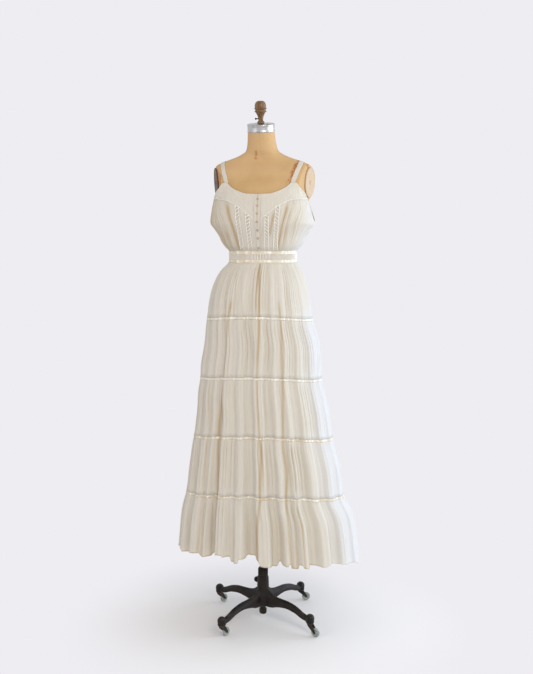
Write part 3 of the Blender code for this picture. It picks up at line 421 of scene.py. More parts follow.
class Shader:
    """Adds and links the nodes of one material."""

    def __init__(self, name, roughness=.8, metallic=0.0, **fixed):
        self.material = bpy.data.materials.new(name)
        self.material.use_nodes = True
        self.tree = self.material.node_tree
        self.surface = self.tree.nodes["Principled BSDF"]
        self.surface.inputs["Roughness"].default_value = roughness
        self.surface.inputs["Metallic"].default_value = metallic
        for key, value in fixed.items():
            self.surface.inputs[key.replace("_", " ")].default_value = value

    def add(self, kind, **settings):
        node = self.tree.nodes.new(kind)
        for key, value in settings.items():
            setattr(node, key, value)
        return node

    def put(self, value, socket):
        if isinstance(value, bpy.types.NodeSocket):
            self.tree.links.new(value, socket)
        else:
            socket.default_value = value

    def math(self, operation, first, second=0.0):
        node = self.add("ShaderNodeMath", operation=operation)
        self.put(first, node.inputs[0])
        self.put(second, node.inputs[1])
        return node.outputs[0]

    def total(self, *values):
        result = values[0]
        for value in values[1:]:
            result = self.math("ADD", result, value)
        return result

    def times(self, first, second):
        return self.math("MULTIPLY", first, second)

    def step(self, value, low, high, to_low=0.0, to_high=1.0):
        node = self.add("ShaderNodeMapRange", interpolation_type="SMOOTHSTEP")
        for socket, item in zip(("Value", "From Min", "From Max", "To Min", "To Max"),
                                (value, low, high, to_low, to_high)):
            self.put(item, node.inputs[socket])
        return node.outputs["Result"]

    def cloth_space(self):
        return self.add("ShaderNodeUVMap", uv_map="cloth").outputs["UV"]

    def shade_and_tint_attribute(self):
        """The painted shade and tint of a point of the cloth, as its mesh says: painted shade in folds,
        painted light below 0.
        """
        return self.add("ShaderNodeAttribute", attribute_name="shade_and_tint").outputs["Fac"]

    def object_space(self):
        return self.add("ShaderNodeTexCoord").outputs["Object"]

    def split(self, vector):
        return self.add_linked("ShaderNodeSeparateXYZ", vector).outputs

    def add_linked(self, kind, value, **settings):
        node = self.add(kind, **settings)
        self.put(value, node.inputs[0])
        return node

    def texture(self, kind, space, scale, stretch=(1, 1, 1)):
        mapping = self.add_linked("ShaderNodeMapping", space)
        mapping.inputs["Scale"].default_value = [scale * s for s in stretch]
        node = self.add(kind)
        node.inputs["Scale"].default_value = 1.0
        self.put(mapping.outputs[0], node.inputs["Vector"])
        return node

    def noise(self, space, scale, detail=3.0, stretch=(1, 1, 1)):
        node = self.texture("ShaderNodeTexNoise", space, scale, stretch)
        node.inputs["Detail"].default_value = detail
        return node.outputs["Fac"]

    def cells(self, space, scale):
        return self.texture("ShaderNodeTexVoronoi", space, scale).outputs["Distance"]

    def mix(self, share, first, second):
        node = self.add("ShaderNodeMix", data_type="RGBA")
        self.put(share, node.inputs[0])
        self.put(first, node.inputs[6])
        self.put(second, node.inputs[7])
        return node.outputs[2]

    def show_mix(self, share, first, second):
        """Shows a mix of two shaders on the surface."""
        both = self.add("ShaderNodeMixShader")
        for value, socket in zip((share, first, second), both.inputs):
            self.put(value, socket)
        self.put(both.outputs[0], self.tree.nodes["Material Output"].inputs["Surface"])

    def weave(self, space, pitch):
        """Over and under of a plain weave, 0 to 1."""
        u, v, _ = self.split(space)
        warp = self.math("SINE", self.times(u, 2 * math.pi / pitch))
        weft = self.math("SINE", self.times(v, 2 * math.pi / pitch))
        return self.math("MULTIPLY_ADD", self.times(warp, weft), .5)

    def finish(self, colour, heights, roughness=None, translucent=None, share=0.0):
        """heights = pairs of a height from 0 to 1 and its depth in metres."""
        self.put(colour, self.surface.inputs["Base Color"])
        if roughness is not None:
            self.put(roughness, self.surface.inputs["Roughness"])
        normal = None
        for height, distance in heights:
            node = self.add("ShaderNodeBump")
            node.inputs["Distance"].default_value = distance
            self.put(height, node.inputs["Height"])
            if normal is not None:
                self.put(normal, node.inputs["Normal"])
            normal = node.outputs["Normal"]
        self.put(normal, self.surface.inputs["Normal"])
        if translucent is not None:
            through = self.add("ShaderNodeBsdfTranslucent")
            self.put(translucent, through.inputs["Color"])
            self.put(normal, through.inputs["Normal"])
            self.show_mix(share, self.surface.outputs[0], through.outputs[0])
        return self.material


def cotton_material():
    """Fine cotton voile with soft crinkles: painted warm shade in folds, warm over the form where it shows
    through, and pale painted window light where the shade value is below 0.
    """
    s = Shader("cream_voile", roughness=.82, Sheen_Weight=.22, Sheen_Roughness=.4, Specular_IOR_Level=.25)
    space = s.cloth_space()
    shade_and_tint = s.shade_and_tint_attribute()
    cloudy = s.noise(space, 7, 4)
    warm = s.total(shade_and_tint, s.times(s.math("SUBTRACT", cloudy, .5), .22))
    # Painted shade: cream turns golden tan deep in the folds
    colour = s.mix(s.step(warm, 0, .9), (.780, .735, .638, 1), (.560, .415, .220, 1))
    # Painted light: pale bluish white where the shade value is below 0, on the side towards the window
    colour = s.mix(s.step(shade_and_tint, -.8, -.05, 1, 0), colour, (.785, .785, .790, 1))
    slub = s.noise(space, 1, 2, stretch=(700, 9, 1))
    colour = s.mix(s.step(slub, .42, .72, 0, .22), colour, (.60, .505, .37, 1))
    crinkle = s.noise(space, 1, 3, stretch=(120, 9, 1))
    small = s.noise(space, 150, 2)
    weave = s.weave(space, .0009)
    colour = s.mix(s.step(weave, .1, .9, .14, 0), colour, (.42, .36, .27, 1))
    return s.finish(colour, ((crinkle, .0016), (small, .00026), (weave, .00014)),
                    translucent=(.86, .83, .76, 1), share=.30)


def satin_material():
    """Cream ribbon with painted highlights in short dashes on its rucks, and painted tan shade in its
    gathers.
    """
    s = Shader("cream_ribbon", roughness=.5, Sheen_Weight=.1, Sheen_Roughness=.4, Specular_IOR_Level=.3)
    space = s.cloth_space()
    shade_and_tint = s.shade_and_tint_attribute()
    streak = s.noise(space, 1, 3, stretch=(60, 1500, 1))
    ruck = s.noise(space, 1, 3, stretch=(85, 25, 1))
    cloudy = s.noise(space, 26, 3)
    colour = s.mix(s.step(cloudy, .3, .7), (.610, .560, .455, 1), (.670, .620, .520, 1))
    # Tan where the mesh asks: partly real yellowing, partly painted shade in the gathers and the painted
    # creases
    colour = s.mix(s.step(shade_and_tint, .1, .9, 0, .75), colour, (.560, .400, .190, 1))
    # Painted highlight: pale dashes where the rucks stand out
    colour = s.mix(s.step(ruck, .51, .60, 0, .70), colour, (.84, .80, .71, 1))
    return s.finish(colour, ((ruck, .0006), (streak, .00005)), roughness=s.step(streak, .3, .7, .42, .58))


def lace_material():
    """White crochet: pale raised threads, with painted tan shade on its lower parts between them."""
    s = Shader("cream_crochet", roughness=.78, Sheen_Weight=.15, Specular_IOR_Level=.3)
    space = s.cloth_space()
    shade_and_tint = s.shade_and_tint_attribute()
    thread = s.noise(space, 1900, 2)
    knots = s.cells(space, 620)
    cloudy = s.noise(space, 30, 3)
    colour = s.mix(s.step(cloudy, .3, .7), (.860, .830, .750, 1), (.900, .880, .820, 1))
    colour = s.mix(s.step(knots, .35, .75, 0, .25), colour, (.56, .47, .33, 1))
    # Painted shade: tan where the threads lie low
    colour = s.mix(s.step(shade_and_tint, .15, .9, 0, .90), colour, (.480, .400, .280, 1))
    return s.finish(colour, ((knots, .0004), (thread, .0001)))


def button_material():
    s = Shader("tan_shell", roughness=.38, Coat_Weight=.3, Coat_Roughness=.2)
    space = s.object_space()
    cloudy = s.noise(space, 420, 3)
    colour = s.mix(s.step(cloudy, .3, .7), (.36, .27, .17, 1), (.50, .40, .27, 1))
    return s.finish(colour, ((cloudy, .00015),), roughness=s.step(cloudy, .3, .7, .3, .48))


# Rust on the linen: thin runs down the shoulders, as places from the top to the bottom, width and strength
Run = namedtuple("Run", "top bottom width strength")
RUST = [
    Run((-.174, -.088, 1.668), (-.168, -.104, 1.580), .0075, 1.0),
    Run((-.162, -.092, 1.650), (-.156, -.104, 1.590), .0030, .80),
    Run((.112, -.050, 1.704), (.100, -.094, 1.590), .0050, 1.0),
    Run((.104, -.060, 1.690), (.090, -.094, 1.600), .0045, 1.0),
    Run((.095, -.060, 1.664), (.080, -.094, 1.616), .0040, .85),
    Run((.146, -.020, 1.692), (.150, -.050, 1.660), .0055, 1.0),
    Run((-.034, -.050, 1.730), (-.036, -.060, 1.700), .0035, .65),
    Run((-.150, .070, 1.664), (-.158, .095, 1.590), .0060, .90),
    Run((.104, .066, 1.668), (.098, .092, 1.592), .0060, .90),
    Run((-.020, .052, 1.716), (-.026, .086, 1.664), .0035, .50),
]


def linen_material():
    """Aged tan linen over the form's shell: fine threads, a faint seam down the middle and rust runs."""
    s = Shader("tan_linen_cover", roughness=.8, Sheen_Weight=.05, Specular_IOR_Level=.3)
    space = s.object_space()
    x, y, z = s.split(space)
    cloudy = s.noise(space, 9, 4)
    fine = s.noise(space, 70, 4)
    colour = s.mix(s.step(cloudy, .3, .7), (.465, .287, .123, 1), (.530, .346, .166, 1))
    colour = s.mix(s.step(fine, .58, .85, 0, .30), colour, (.36, .21, .085, 1))
    # Each run wanders and breaks up along its length
    wander_x = s.times(s.math("SUBTRACT", s.noise(space, 34, 3), .5), .014)
    flecks = s.noise(space, 1, 4, stretch=(190, 190, 70))
    for run in RUST:
        high, low = run.top[2], run.bottom[2]
        down = s.math("DIVIDE", s.math("SUBTRACT", high, z), high - low)
        line = s.math("MULTIPLY_ADD", down, run.bottom[0] - run.top[0])
        line.node.inputs[2].default_value = run.top[0]
        away = s.math("ABSOLUTE", s.total(x, s.times(line, -1.0), wander_x))
        ends = s.times(s.step(down, -.08, .10), s.step(down, .85, 1.12, 1, 0))
        front = s.step(s.times(y, math.copysign(1, run.top[1])), .004, .016)
        mark = s.times(s.times(s.step(away, run.width * .5, run.width * 1.5, 1, 0), ends), front)
        mark = s.times(mark, s.step(flecks, .40, .54, .10, run.strength))
        colour = s.mix(mark, colour, (.340, .115, .026, 1))
    middle = s.step(s.math("ABSOLUTE", s.math("SUBTRACT", x, AXIS_X)), .0006, .0022, 1, 0)
    on_neck = s.step(z, 1.70, 1.76, 0, .10)
    colour = s.mix(s.times(middle, on_neck), colour, (.26, .155, .075, 1))
    seam = s.math("SUBTRACT", 1.0, s.times(middle, .6))
    threads = s.noise(space, 1, 2, stretch=(260, 260, 1500))
    return s.finish(colour, ((seam, .0006), (fine, .0004), (threads, .00022)),
                    roughness=s.step(cloudy, .3, .7, .72, .88))


def metal_material(name, colour, worn, roughness):
    """Metal with fine scratches and dull patches."""
    s = Shader(name, roughness=roughness, metallic=1.0)
    space = s.object_space()
    patches = s.noise(space, 60, 5)
    lines = s.noise(space, 1, 3, stretch=(120, 120, 2200))
    tone = s.mix(s.step(patches, .42, .72), colour, worn)
    return s.finish(tone, ((lines, .00005),),
                    roughness=s.step(patches, .3, .75, roughness, roughness + .22))


def iron_material():
    """Worn black enamel on cast iron: brown where it is rubbed, and a patchy grey on its upward faces."""
    s = Shader("worn_enamel", roughness=.4, Specular_IOR_Level=.2)
    space = s.object_space()
    pits = s.noise(space, 520, 3)
    patches = s.noise(space, 38, 5)
    geometry = s.add("ShaderNodeNewGeometry")
    rubbed = s.times(s.step(geometry.outputs["Pointiness"], .51, .58), s.step(patches, .35, .65))
    colour = s.mix(s.step(patches, .4, .7), (.0100, .0080, .0070, 1), (.0240, .0160, .0115, 1))
    colour = s.mix(s.times(rubbed, .8), colour, (.095, .060, .036, 1))
    # A patchy grey on faces that point up
    _, _, up = s.split(geometry.outputs["Normal"])
    grey_on_top = s.times(s.step(up, .55, 1), s.step(s.noise(space, 75, 4), .50, .68, 0, .16))
    colour = s.mix(grey_on_top, colour, (.24, .220, .20, 1))
    return s.finish(colour, ((pits, .0004), (patches, .0012)), roughness=s.step(patches, .3, .7, .36, .58))


def wood_material():
    s = Shader("dark_walnut", roughness=.42, Specular_IOR_Level=.3)
    space = s.object_space()
    grain = s.noise(space, 1, 5, stretch=(260, 260, 26))
    broad = s.noise(space, 1, 3, stretch=(60, 60, 9))
    colour = s.mix(s.step(grain, .3, .7), (.085, .044, .017, 1), (.215, .122, .052, 1))
    colour = s.mix(s.step(broad, .45, .75, 0, .6), colour, (.255, .150, .068, 1))
    return s.finish(colour, ((grain, .0003),), roughness=s.step(broad, .3, .7, .34, .52))


def plate_material():
    s = Shader("dark_arm_plate", roughness=.55)
    space = s.object_space()
    patches = s.noise(space, 45, 5)
    fine = s.noise(space, 400, 2)
    colour = s.mix(s.step(patches, .3, .7), (.075, .045, .026, 1), (.150, .098, .060, 1))
    # Painted light: the right plate, on the window side, is a pale tan copy of the dark plate
    x, _, _ = s.split(space)
    colour = s.mix(s.step(x, -.05, .05), colour, (.47, .34, .205, 1))
    return s.finish(colour, ((fine, .0002), (patches, .0006)), roughness=s.step(patches, .3, .7, .45, .7))


def wheel_material():
    s = Shader("grey_tread", roughness=.5)
    space = s.object_space()
    patches = s.noise(space, 180, 4)
    colour = s.mix(s.step(patches, .3, .7), (.17, .19, .17, 1), (.33, .35, .31, 1))
    return s.finish(colour, ((patches, .0003),), roughness=s.step(patches, .3, .7, .4, .62))


# The material of each slot
FINISHES = {
    "cream_cotton": cotton_material(),
    "cream_satin": satin_material(),
    "cream_lace": lace_material(),
    "tan_button": button_material(),
    "tan_linen": linen_material(),
    "nickel_band": metal_material("worn_nickel", (.50, .50, .50, 1), (.33, .32, .30, 1), .26),
    "pole_steel": metal_material("dark_steel", (.16, .15, .145, 1), (.10, .09, .08, 1), .36),
    "cast_iron": iron_material(),
    "turned_wood": wood_material(),
    "arm_plate": plate_material(),
    "wheel_grey": wheel_material(),
}
# What the name of a piece of the dress starts with
CLOTH_NAMES = {"cream_cotton": "cloth", "cream_satin": "satin", "cream_lace": "crochet"}


# Skirt

def seam_height(seam, angle):
    return seam.z + seam.lift * np.cos(np.radians(angle)) ** 2


def hem_height(angle):
    dips = sum(dip.depth * smooth_step(bump(angle, dip.angle, dip.half_width), .10, .42) for dip in HEM_DIPS)
    return seam_height(HEM, angle) + HEM_SLOPE * np.sin(np.radians(angle)) - dips


def large_folds(angle, z):
    """Depth of the listed folds: steep walls between flatter valleys and ridges, leaning a little."""
    growth = curve(sorted(FOLD_GROWTH), z)
    lean = .6 * wander(angle, 3, 7) * (z - .26)
    folds = sum(fold.depth * smooth_step(bump(angle + lean, fold.angle, fold.half_width), .03, .82)
                for fold in FOLDS)
    return growth * folds * (1 - .50 * bump(angle, LIT_SIDE, LIT_WIDTH))


def skirt_points(angle, z, more):
    x, y = table_section(SKIRT, angle, z, more)
    return np.stack([AXIS_X + column(SKIRT, z, "shift") + x, y, z], axis=-1)


def tier_gathers(tier, angle, down, height):
    """Inward depth of a tier's gathers at a share of the way down it."""
    drifted = angle + .20 * wander(angle, tier.seed + 7, 6) * down
    below = down * height
    fade = .045           # the puckers die away over about this distance from the seam
    fine = FINE_DEPTH * (.32 + .68 * np.exp(-below / fade)) * smooth_step(below, 0, .006)
    fine = fine * gathers(drifted, tier.fine, tier.seed, 1.6)
    # The seam under a tier draws its gathers flat again, but the last tier hangs free
    flat = 0 if tier is TIERS[-1] else .88 * smooth_step(down, .82, .985)
    calm = 1 - .55 * bump(angle, LIT_SIDE, LIT_WIDTH)
    main = calm * tier.depth * (.32 + .68 * smooth_step(down, 0, .18)) * (1 - .34 * down) * (1 - flat)
    main = main * gathers(drifted, tier.main, tier.seed + 2, 2.3)
    soft = calm * SOFT_SHARE * tier.depth * smooth_step(down, 0, .5) * (1 - flat)
    soft = soft * gathers(drifted, tier.soft, tier.seed + 4, 1.4)
    return fine, main, soft


def valleys(points):
    """Strength of the painted tan crease shade at points of the skirt."""
    bearing = np.degrees(np.arctan2(points[..., 0] - AXIS_X, -points[..., 1]))
    z = points[..., 2]
    total = 0
    for valley in PAINTED_CREASES:
        centre = curve(valley.line, z)
        ends = smooth_step(z, valley.line[0][0] - .02, valley.line[0][0] + .01)
        ends = ends * smooth_step(z, valley.line[-1][0] + .02, valley.line[-1][0] - .01)
        total = total + valley.strength * ends * bump(bearing, centre, valley.half_width)
    return total


def level(tier):
    """How far out the ridges of a tier lie, so that ridges and valleys together keep its size."""
    return .0006 + .22 * tier.depth


def arc(start, end, columns):
    clearance = 0.03
    return np.linspace(start + clearance, end - clearance, columns)


def half_angles(side, columns):
    return arc(*HALVES[side], columns)


def tier_grid(i, span):
    """Points of one stretch of a tier, and the painted shade and tint of each point, for its colour."""
    tier = TIERS[i]
    last = i == len(TIERS) - 1
    overlap = .002        # how far a ribbon laps over the tiers above and below it
    under_ribbon = RIBBON_HEIGHT / 2 - overlap
    # Rows lie closer together under the seam, where the puckers are, and at the hem's roll
    down = np.linspace(0, 1, TIER_ROWS) ** 1.35
    if last:
        down = np.concatenate([down[:-1], [.972, .984, .992, 1]])
    columns = round(TIER_COLUMNS * (span[1] - span[0]) / 360)
    angle, down = spread(arc(*span, columns), down[::-1])
    top = WAIST_BOTTOM + .002 if i == 0 else seam_height(SEAMS[i - 1], angle) - under_ribbon
    bottom = hem_height(angle) if last else seam_height(SEAMS[i], angle) + under_ribbon
    height = float(np.mean(top - bottom))
    fine, main, soft = tier_gathers(tier, angle, down, height)
    if last:
        bottom = bottom + .0008 * main / tier.depth
    z = top + (bottom - top) * down
    folds = large_folds(angle, z)
    puff = curve([(0, -.0003), (.03, .0006), (.20, tier.puff), (.60, .0012), (.96, .0006), (1, .0005)], down)
    hem_line = 0
    if last:
        hem_line = bump(z - bottom, .0020, .0036)
        puff = puff + .0008 * hem_line
    points = skirt_points(angle, z, puff + level(tier) - folds - fine - main - soft)
    # The painted warm shade in the gathers' hollows is stronger in some places than others
    warm = np.clip(.50 + .50 * wander(angle, tier.seed + 9, 44), .05, 1.2)
    usual_fold = .030
    # Painted shade: tan in the folds, the gathers' hollows and the painted creases; tan also at the rolled
    # hem
    shade_and_tint = .26 * folds / usual_fold + warm * (.50 * main / tier.depth + .34 * fine / FINE_DEPTH)
    shade_and_tint = shade_and_tint + valleys(points) + .10 * soft / (SOFT_SHARE * tier.depth) + .55 * hem_line - .08
    # The side towards the window is pale: a single layer with the light behind it
    lit = bump(angle, LIT_SIDE, LIT_WIDTH + 2)
    shade_and_tint = shade_and_tint * (1 - .80 * lit) - .75 * lit * smooth_step(z, 1.34, 1.05)
    return points, np.clip(shade_and_tint, -1, 1)


def cloth_piece(node, points, shade_and_tint, slot="cream_cotton", closed=False, keep=None, thickness=CLOTH):
    """A thin piece of the dress in place of its node, with the painted shade and tint of each point for its
    colour.
    """
    name = f"{CLOTH_NAMES[slot]}_{node}"
    mesh = grid_mesh(name, points, closed=closed, keep=keep, shade_and_tint=shade_and_tint)
    piece = add_piece(name, mesh, "form", slot, node)
    solid = piece.modifiers.new("cloth", "SOLIDIFY")
    solid.thickness = thickness
    solid.offset = -1
    return piece


def build_skirt():
    """The tiers, each in its cut widths, and the ribbons between them."""
    for i, tier in enumerate(TIERS):
        for panel, span in (WIDTHS if i >= len(TIERS) - WIDE_TIERS else HALVES).items():
            points, shade_and_tint = tier_grid(i, span)
            node = f"skirt_{tier.name}_{panel}"
            piece = cloth_piece(node, points, shade_and_tint)
    for i, seam in enumerate(SEAMS):
        build_ribbon(i, seam)


def build_ribbon(i, seam):
    """Satin ribbon that rides just proud of the gathers under it, with small rucks of its own."""
    tier = TIERS[i + 1]
    proud = .0012
    angle, rise = spread(all_round(TIER_COLUMNS), np.linspace(-.5, .5, 5))
    z = seam_height(seam, angle) + rise * RIBBON_HEIGHT
    # It takes on the gathers that the tier under it has a little way down
    share_down, tier_height = .035, .20
    fine, main, _ = tier_gathers(tier, angle, np.full(angle.shape, share_down), tier_height)
    rucks = .0004 * wander(angle, 101 + i, 90) + .0005 * rise * wander(angle, 131 + i, 60)
    more = level(tier) + proud - large_folds(angle, z) - .8 * fine - main + .5 * rucks
    points = skirt_points(angle, z, more - .0003 * (2 * rise) ** 2)
    # The two lower ribbons have yellowed
    aged = .10 if i < 2 else .40
    # Painted shade in the gathers and the painted creases, over the yellowing
    shade_and_tint = aged * (1 + .6 * wander(angle, 151 + i, 50)) + .8 * valleys(points) + .25 * main / tier.depth
    node = f"skirt_ribbon_{i + 1}"
    piece = cloth_piece(node, points, np.clip(shade_and_tint, 0, 1), "cream_satin", closed=True)


# Waistband

def waist_points(angle, z, proud):
    waist = SKIRT[0]
    x, y = section(angle, waist.half_width + proud, waist.front + proud, waist.back + proud, waist.power)
    return np.stack(np.broadcast_arrays(AXIS_X + x, y, z), axis=-1)


def build_waist():
    """Two ribbons on elastic, and between them a crochet band of ribs and bars with open holes."""
    lace_bottom = WAIST_BOTTOM + WAIST_LOWER_RIBBON + SEAM_GAP
    lace_top = lace_bottom + WAIST_LACE
    columns, fullness = 640, 1.03
    for node, low, high, seed in (("waist_ribbon_lower", WAIST_BOTTOM - .001, lace_bottom, 201),
                                  ("waist_ribbon_upper", lace_top, WAIST_TOP + .001, 211)):
        a, share = spread(all_round(columns), np.linspace(0, 1, 7))
        crumple = .0005 * wander(a, seed, 30) + .0007 * (share - .5) * wander(a, seed + 1, 46)
        # Gathered lightly on elastic, so that the satin is finely ribbed
        ribbed = .0005 * gathers(a, 150, seed + 2) * np.sin(np.pi * share) ** .5
        proud = .0008 + crumple - ribbed - .0004 * (2 * share - 1) ** 2
        points = waist_points(a, low + (high - low) * share, proud)
        # Painted shade: tan in the hollows of the ribbing, and more on the left side away from the window,
        # over an even tint
        shade_and_tint = .35 * ribbed / .0005 + .24 + .16 * smooth_step(-np.sin(np.radians(a)), -.5, .5)
        piece = cloth_piece(node, points, np.clip(shade_and_tint, 0, 1), "cream_satin", closed=True)
        width = length_of(points[3]) * fullness
    ribs, per_rib, rows, bars = 84, 5, 21, 5
    columns = ribs * per_rib
    for side in HALVES:
        a, up = spread(half_angles(side, columns + 1), np.linspace(0, 1, rows))
        across = (np.arange(columns + 1) / per_rib % 1)[None, :]
        rib = bump(360 * across, 180, 130)
        bar = bump(360 * (up * bars % 1), 0, 110)
        raised = np.maximum(rib, .75 * bar)
        points = waist_points(a, lace_bottom + WAIST_LACE * up, .0002 + .0010 * raised)
        centre_rib = np.abs((np.arange(columns) + .5) / per_rib % 1 - .5)[None, :]
        centre_bar = np.abs((np.arange(rows - 1) + .5) / (rows - 1) * bars % 1 - .5)[:, None]
        keep = ~((centre_rib > .36) & (centre_bar < .20))
        node = f"waistband_{side}"
        # Painted shade: tan, more so where the crochet is not raised
        piece = cloth_piece(node, points, .75 - .45 * raised, "cream_lace", keep=keep, thickness=.0007)
        width = length_of(waist_points(a, lace_bottom, 0)[0])


# Bodice

def bodice_points(angle, z, proud):
    x, y = table_section(BODICE, angle, z, proud)
    return np.stack([AXIS_X + x, y, z], axis=-1)


def angle_at(distance):
    return np.degrees(np.arcsin(np.minimum(distance / BODICE_REACH, 1) ** (EDGE_POWER / 2)))


def distance_at(angle):
    return BODICE_REACH * np.abs(np.sin(np.radians(angle))) ** (2 / EDGE_POWER)


def edge_height(table, angle):
    return curve(table, distance_at(angle))


FRONT_START = float(angle_at(PLACKET_HALF_WIDTH + SEAM_GAP))
YOKE_END = FRONT_START + (89.94 - FRONT_START) * YOKE_SHARE
UNDER_PLACKET = float(angle_at(PLACKET_HALF_WIDTH - .002))   # the fronts reach in under the button band
# Places where a single layer lies over the tan form, which shows through. The place and the half-width are
# shares of the way from the middle to the side, the start and the end are shares of the height.
Streak = namedtuple("Streak", "place half_width strength start end")
STREAKS = {
    -1: [Streak(.622, .070, .62, .03, .97), Streak(.80, .070, .30, .0, .46), Streak(.90, .050, .26, .0, .40),
         Streak(.46, .035, .20, .20, .80), Streak(.13, .030, .22, .10, .60)],
    1: [Streak(.602, .064, .55, .03, .97), Streak(.350, .058, .62, .36, .97),
        Streak(.135, .032, .34, .05, .75), Streak(.74, .050, .16, .0, .55), Streak(.88, .060, .16, .0, .45)],
}


def tuck(angle):
    """How far in the fronts go where they reach under the button band."""
    return .0006 * smooth_step(angle, UNDER_PLACKET + .6, UNDER_PLACKET)


def edge_roll(below):
    """The rolled hem of an upper edge, at a distance below it."""
    return .0006 * bump(below, .0025, .0035)


def straight_place(angle, z, share):
    """Share of the way from the middle to the side, on lines that run straight from the waist to the yoke."""
    place = distance_at(angle) / BODICE_REACH
    waist, yoke = BODICE[0].half_width, .177
    straight = waist + (yoke - waist) * share
    true = column(BODICE, z, "half_width")
    side = smooth_step(place, .60, 1)
    return np.minimum(true * place / (straight + (true - straight) * side), 1)


def panel_grid(sign, columns, rows):
    """The gathered lower front, from the waist up to the yoke and the armhole."""
    under = np.linspace(UNDER_PLACKET, YOKE_END, round(columns * YOKE_SHARE))
    beyond = np.linspace(YOKE_END + .15, 89.97, columns - len(under))
    angle, share = spread(np.concatenate([under, beyond]), np.linspace(0, 1, rows))
    top = np.where(angle <= YOKE_END, edge_height(YOKE_SEAM, angle) + .0012, edge_height(FRONT_EDGE, angle))
    bottom = WAIST_TOP - .001
    z = bottom + (top - bottom) * share
    seed = 310 + sign
    fine_depth, broad_depth = .0018, .0022
    full = np.sin(np.pi * share) ** .7
    free = smooth_step(angle, 17, 30)
    place = straight_place(angle, z, share)
    line = angle_at(place * BODICE_REACH)
    drift = line + 1.2 * (share - .5) * wander(line, seed + 8, 9)
    main = fine_depth * gathers(drift, 96, seed, 1.8) * (.35 + .65 * free)
    main = (main + broad_depth * gathers(drift, 34, seed + 1) * free) * full
    waist_fine = fine_depth * (.25 + .75 * np.exp(-(z - bottom) / .030)) * smooth_step(z - bottom, 0, .005)
    waist_fine = waist_fine * gathers(line, 200, seed + 3, 1.6) * (.35 + .65 * free)
    seam_fine = fine_depth * np.exp(-(top - z) / .022) * smooth_step(top - z, 0, .005)
    seam_fine = seam_fine * gathers(angle, 190, seed + 5) * free
    points = bodice_points(sign * angle, z, .0012 * full - main - waist_fine - seam_fine - tuck(angle))
    streak = 0
    for s in STREAKS[sign]:
        along = smooth_step(share, s.start - .08, s.start + .12)
        along = along * (1 - smooth_step(share, s.end - .15, s.end + .03))
        streak = streak + s.strength * bump(place, s.place, s.half_width) * along
    # Painted shade in the gathers' hollows, and the form's tan where it shows through
    shade_and_tint = .26 * main / broad_depth + .25 * waist_fine / fine_depth + .16 * seam_fine / fine_depth + streak
    # Painted shade on the left side, away from the window; painted light on the right side, towards it
    if sign < 0:
        shade_and_tint = shade_and_tint + .10 + .18 * smooth_step(angle, 34, 70)
    else:
        shade_and_tint = shade_and_tint + .04 - .60 * smooth_step(angle, 36, 75)
    # The cloth is darker under the lace
    for distance in LACE_X:
        strip = distance * (LACE_LEAN + (1 - LACE_LEAN) * share)
        from_strip = np.abs(np.abs(points[..., 0] - AXIS_X) - strip)
        shade_and_tint = shade_and_tint + .30 * smooth_step(from_strip, LACE_WIDTH * .52, LACE_WIDTH * .40)
    if sign < 0:
        points, shade_and_tint = points[:, ::-1], shade_and_tint[:, ::-1]
    return points, np.clip(shade_and_tint, -1, 1)


def strip_points(panel, sign, distance, columns):
    """Points on a panel's rows, across a strip that leans towards the middle of the waist."""
    rows = len(panel)
    out = []
    for r, row in enumerate(panel):
        lean = LACE_LEAN + (1 - LACE_LEAN) * r / rows
        xs = AXIS_X + sign * distance * lean + np.linspace(-.5, .5, columns) * LACE_WIDTH
        order = np.argsort(row[:, 0])
        out.append(np.stack([xs, np.interp(xs, row[order, 0], row[order, 1]),
                             np.interp(xs, row[order, 0], row[order, 2])], axis=1))
    return np.array(out)


def lace_strip(node, panel, sign, distance):
    """Crochet strip with raised edges, a row of diamonds and open eyelets."""
    columns, repeat = 25, .0125
    base = strip_points(panel, sign, distance, columns)[3:-2]
    along = distances(base[:, columns // 2])

    def pattern(across, length):
        across, length = spread(np.abs(across), length)
        diamond = np.abs(length / repeat % 1 - .5) * 2
        thread = 1 - np.clip(np.abs(across / .68 - diamond) / .40, 0, 1)
        edge = smooth_step(across, .66, .80) * (1 - .6 * smooth_step(across, .90, 1))
        knot = np.clip(1 - np.hypot(across / .30, (length / repeat % 1 - .5) / .20), 0, 1)
        return np.maximum(np.maximum(thread, edge), knot)

    across = np.linspace(-1, 1, columns)
    height = pattern(across, along)
    base[:, :, 1] -= .0010 + .0015 * height
    centre = pattern((across[1:] + across[:-1]) / 2, (along[1:] + along[:-1]) / 2)
    # Painted shade: tan where the strip's threads lie low
    piece = cloth_piece(node, base, 1 - height, "cream_lace", keep=centre > .06, thickness=.0006)


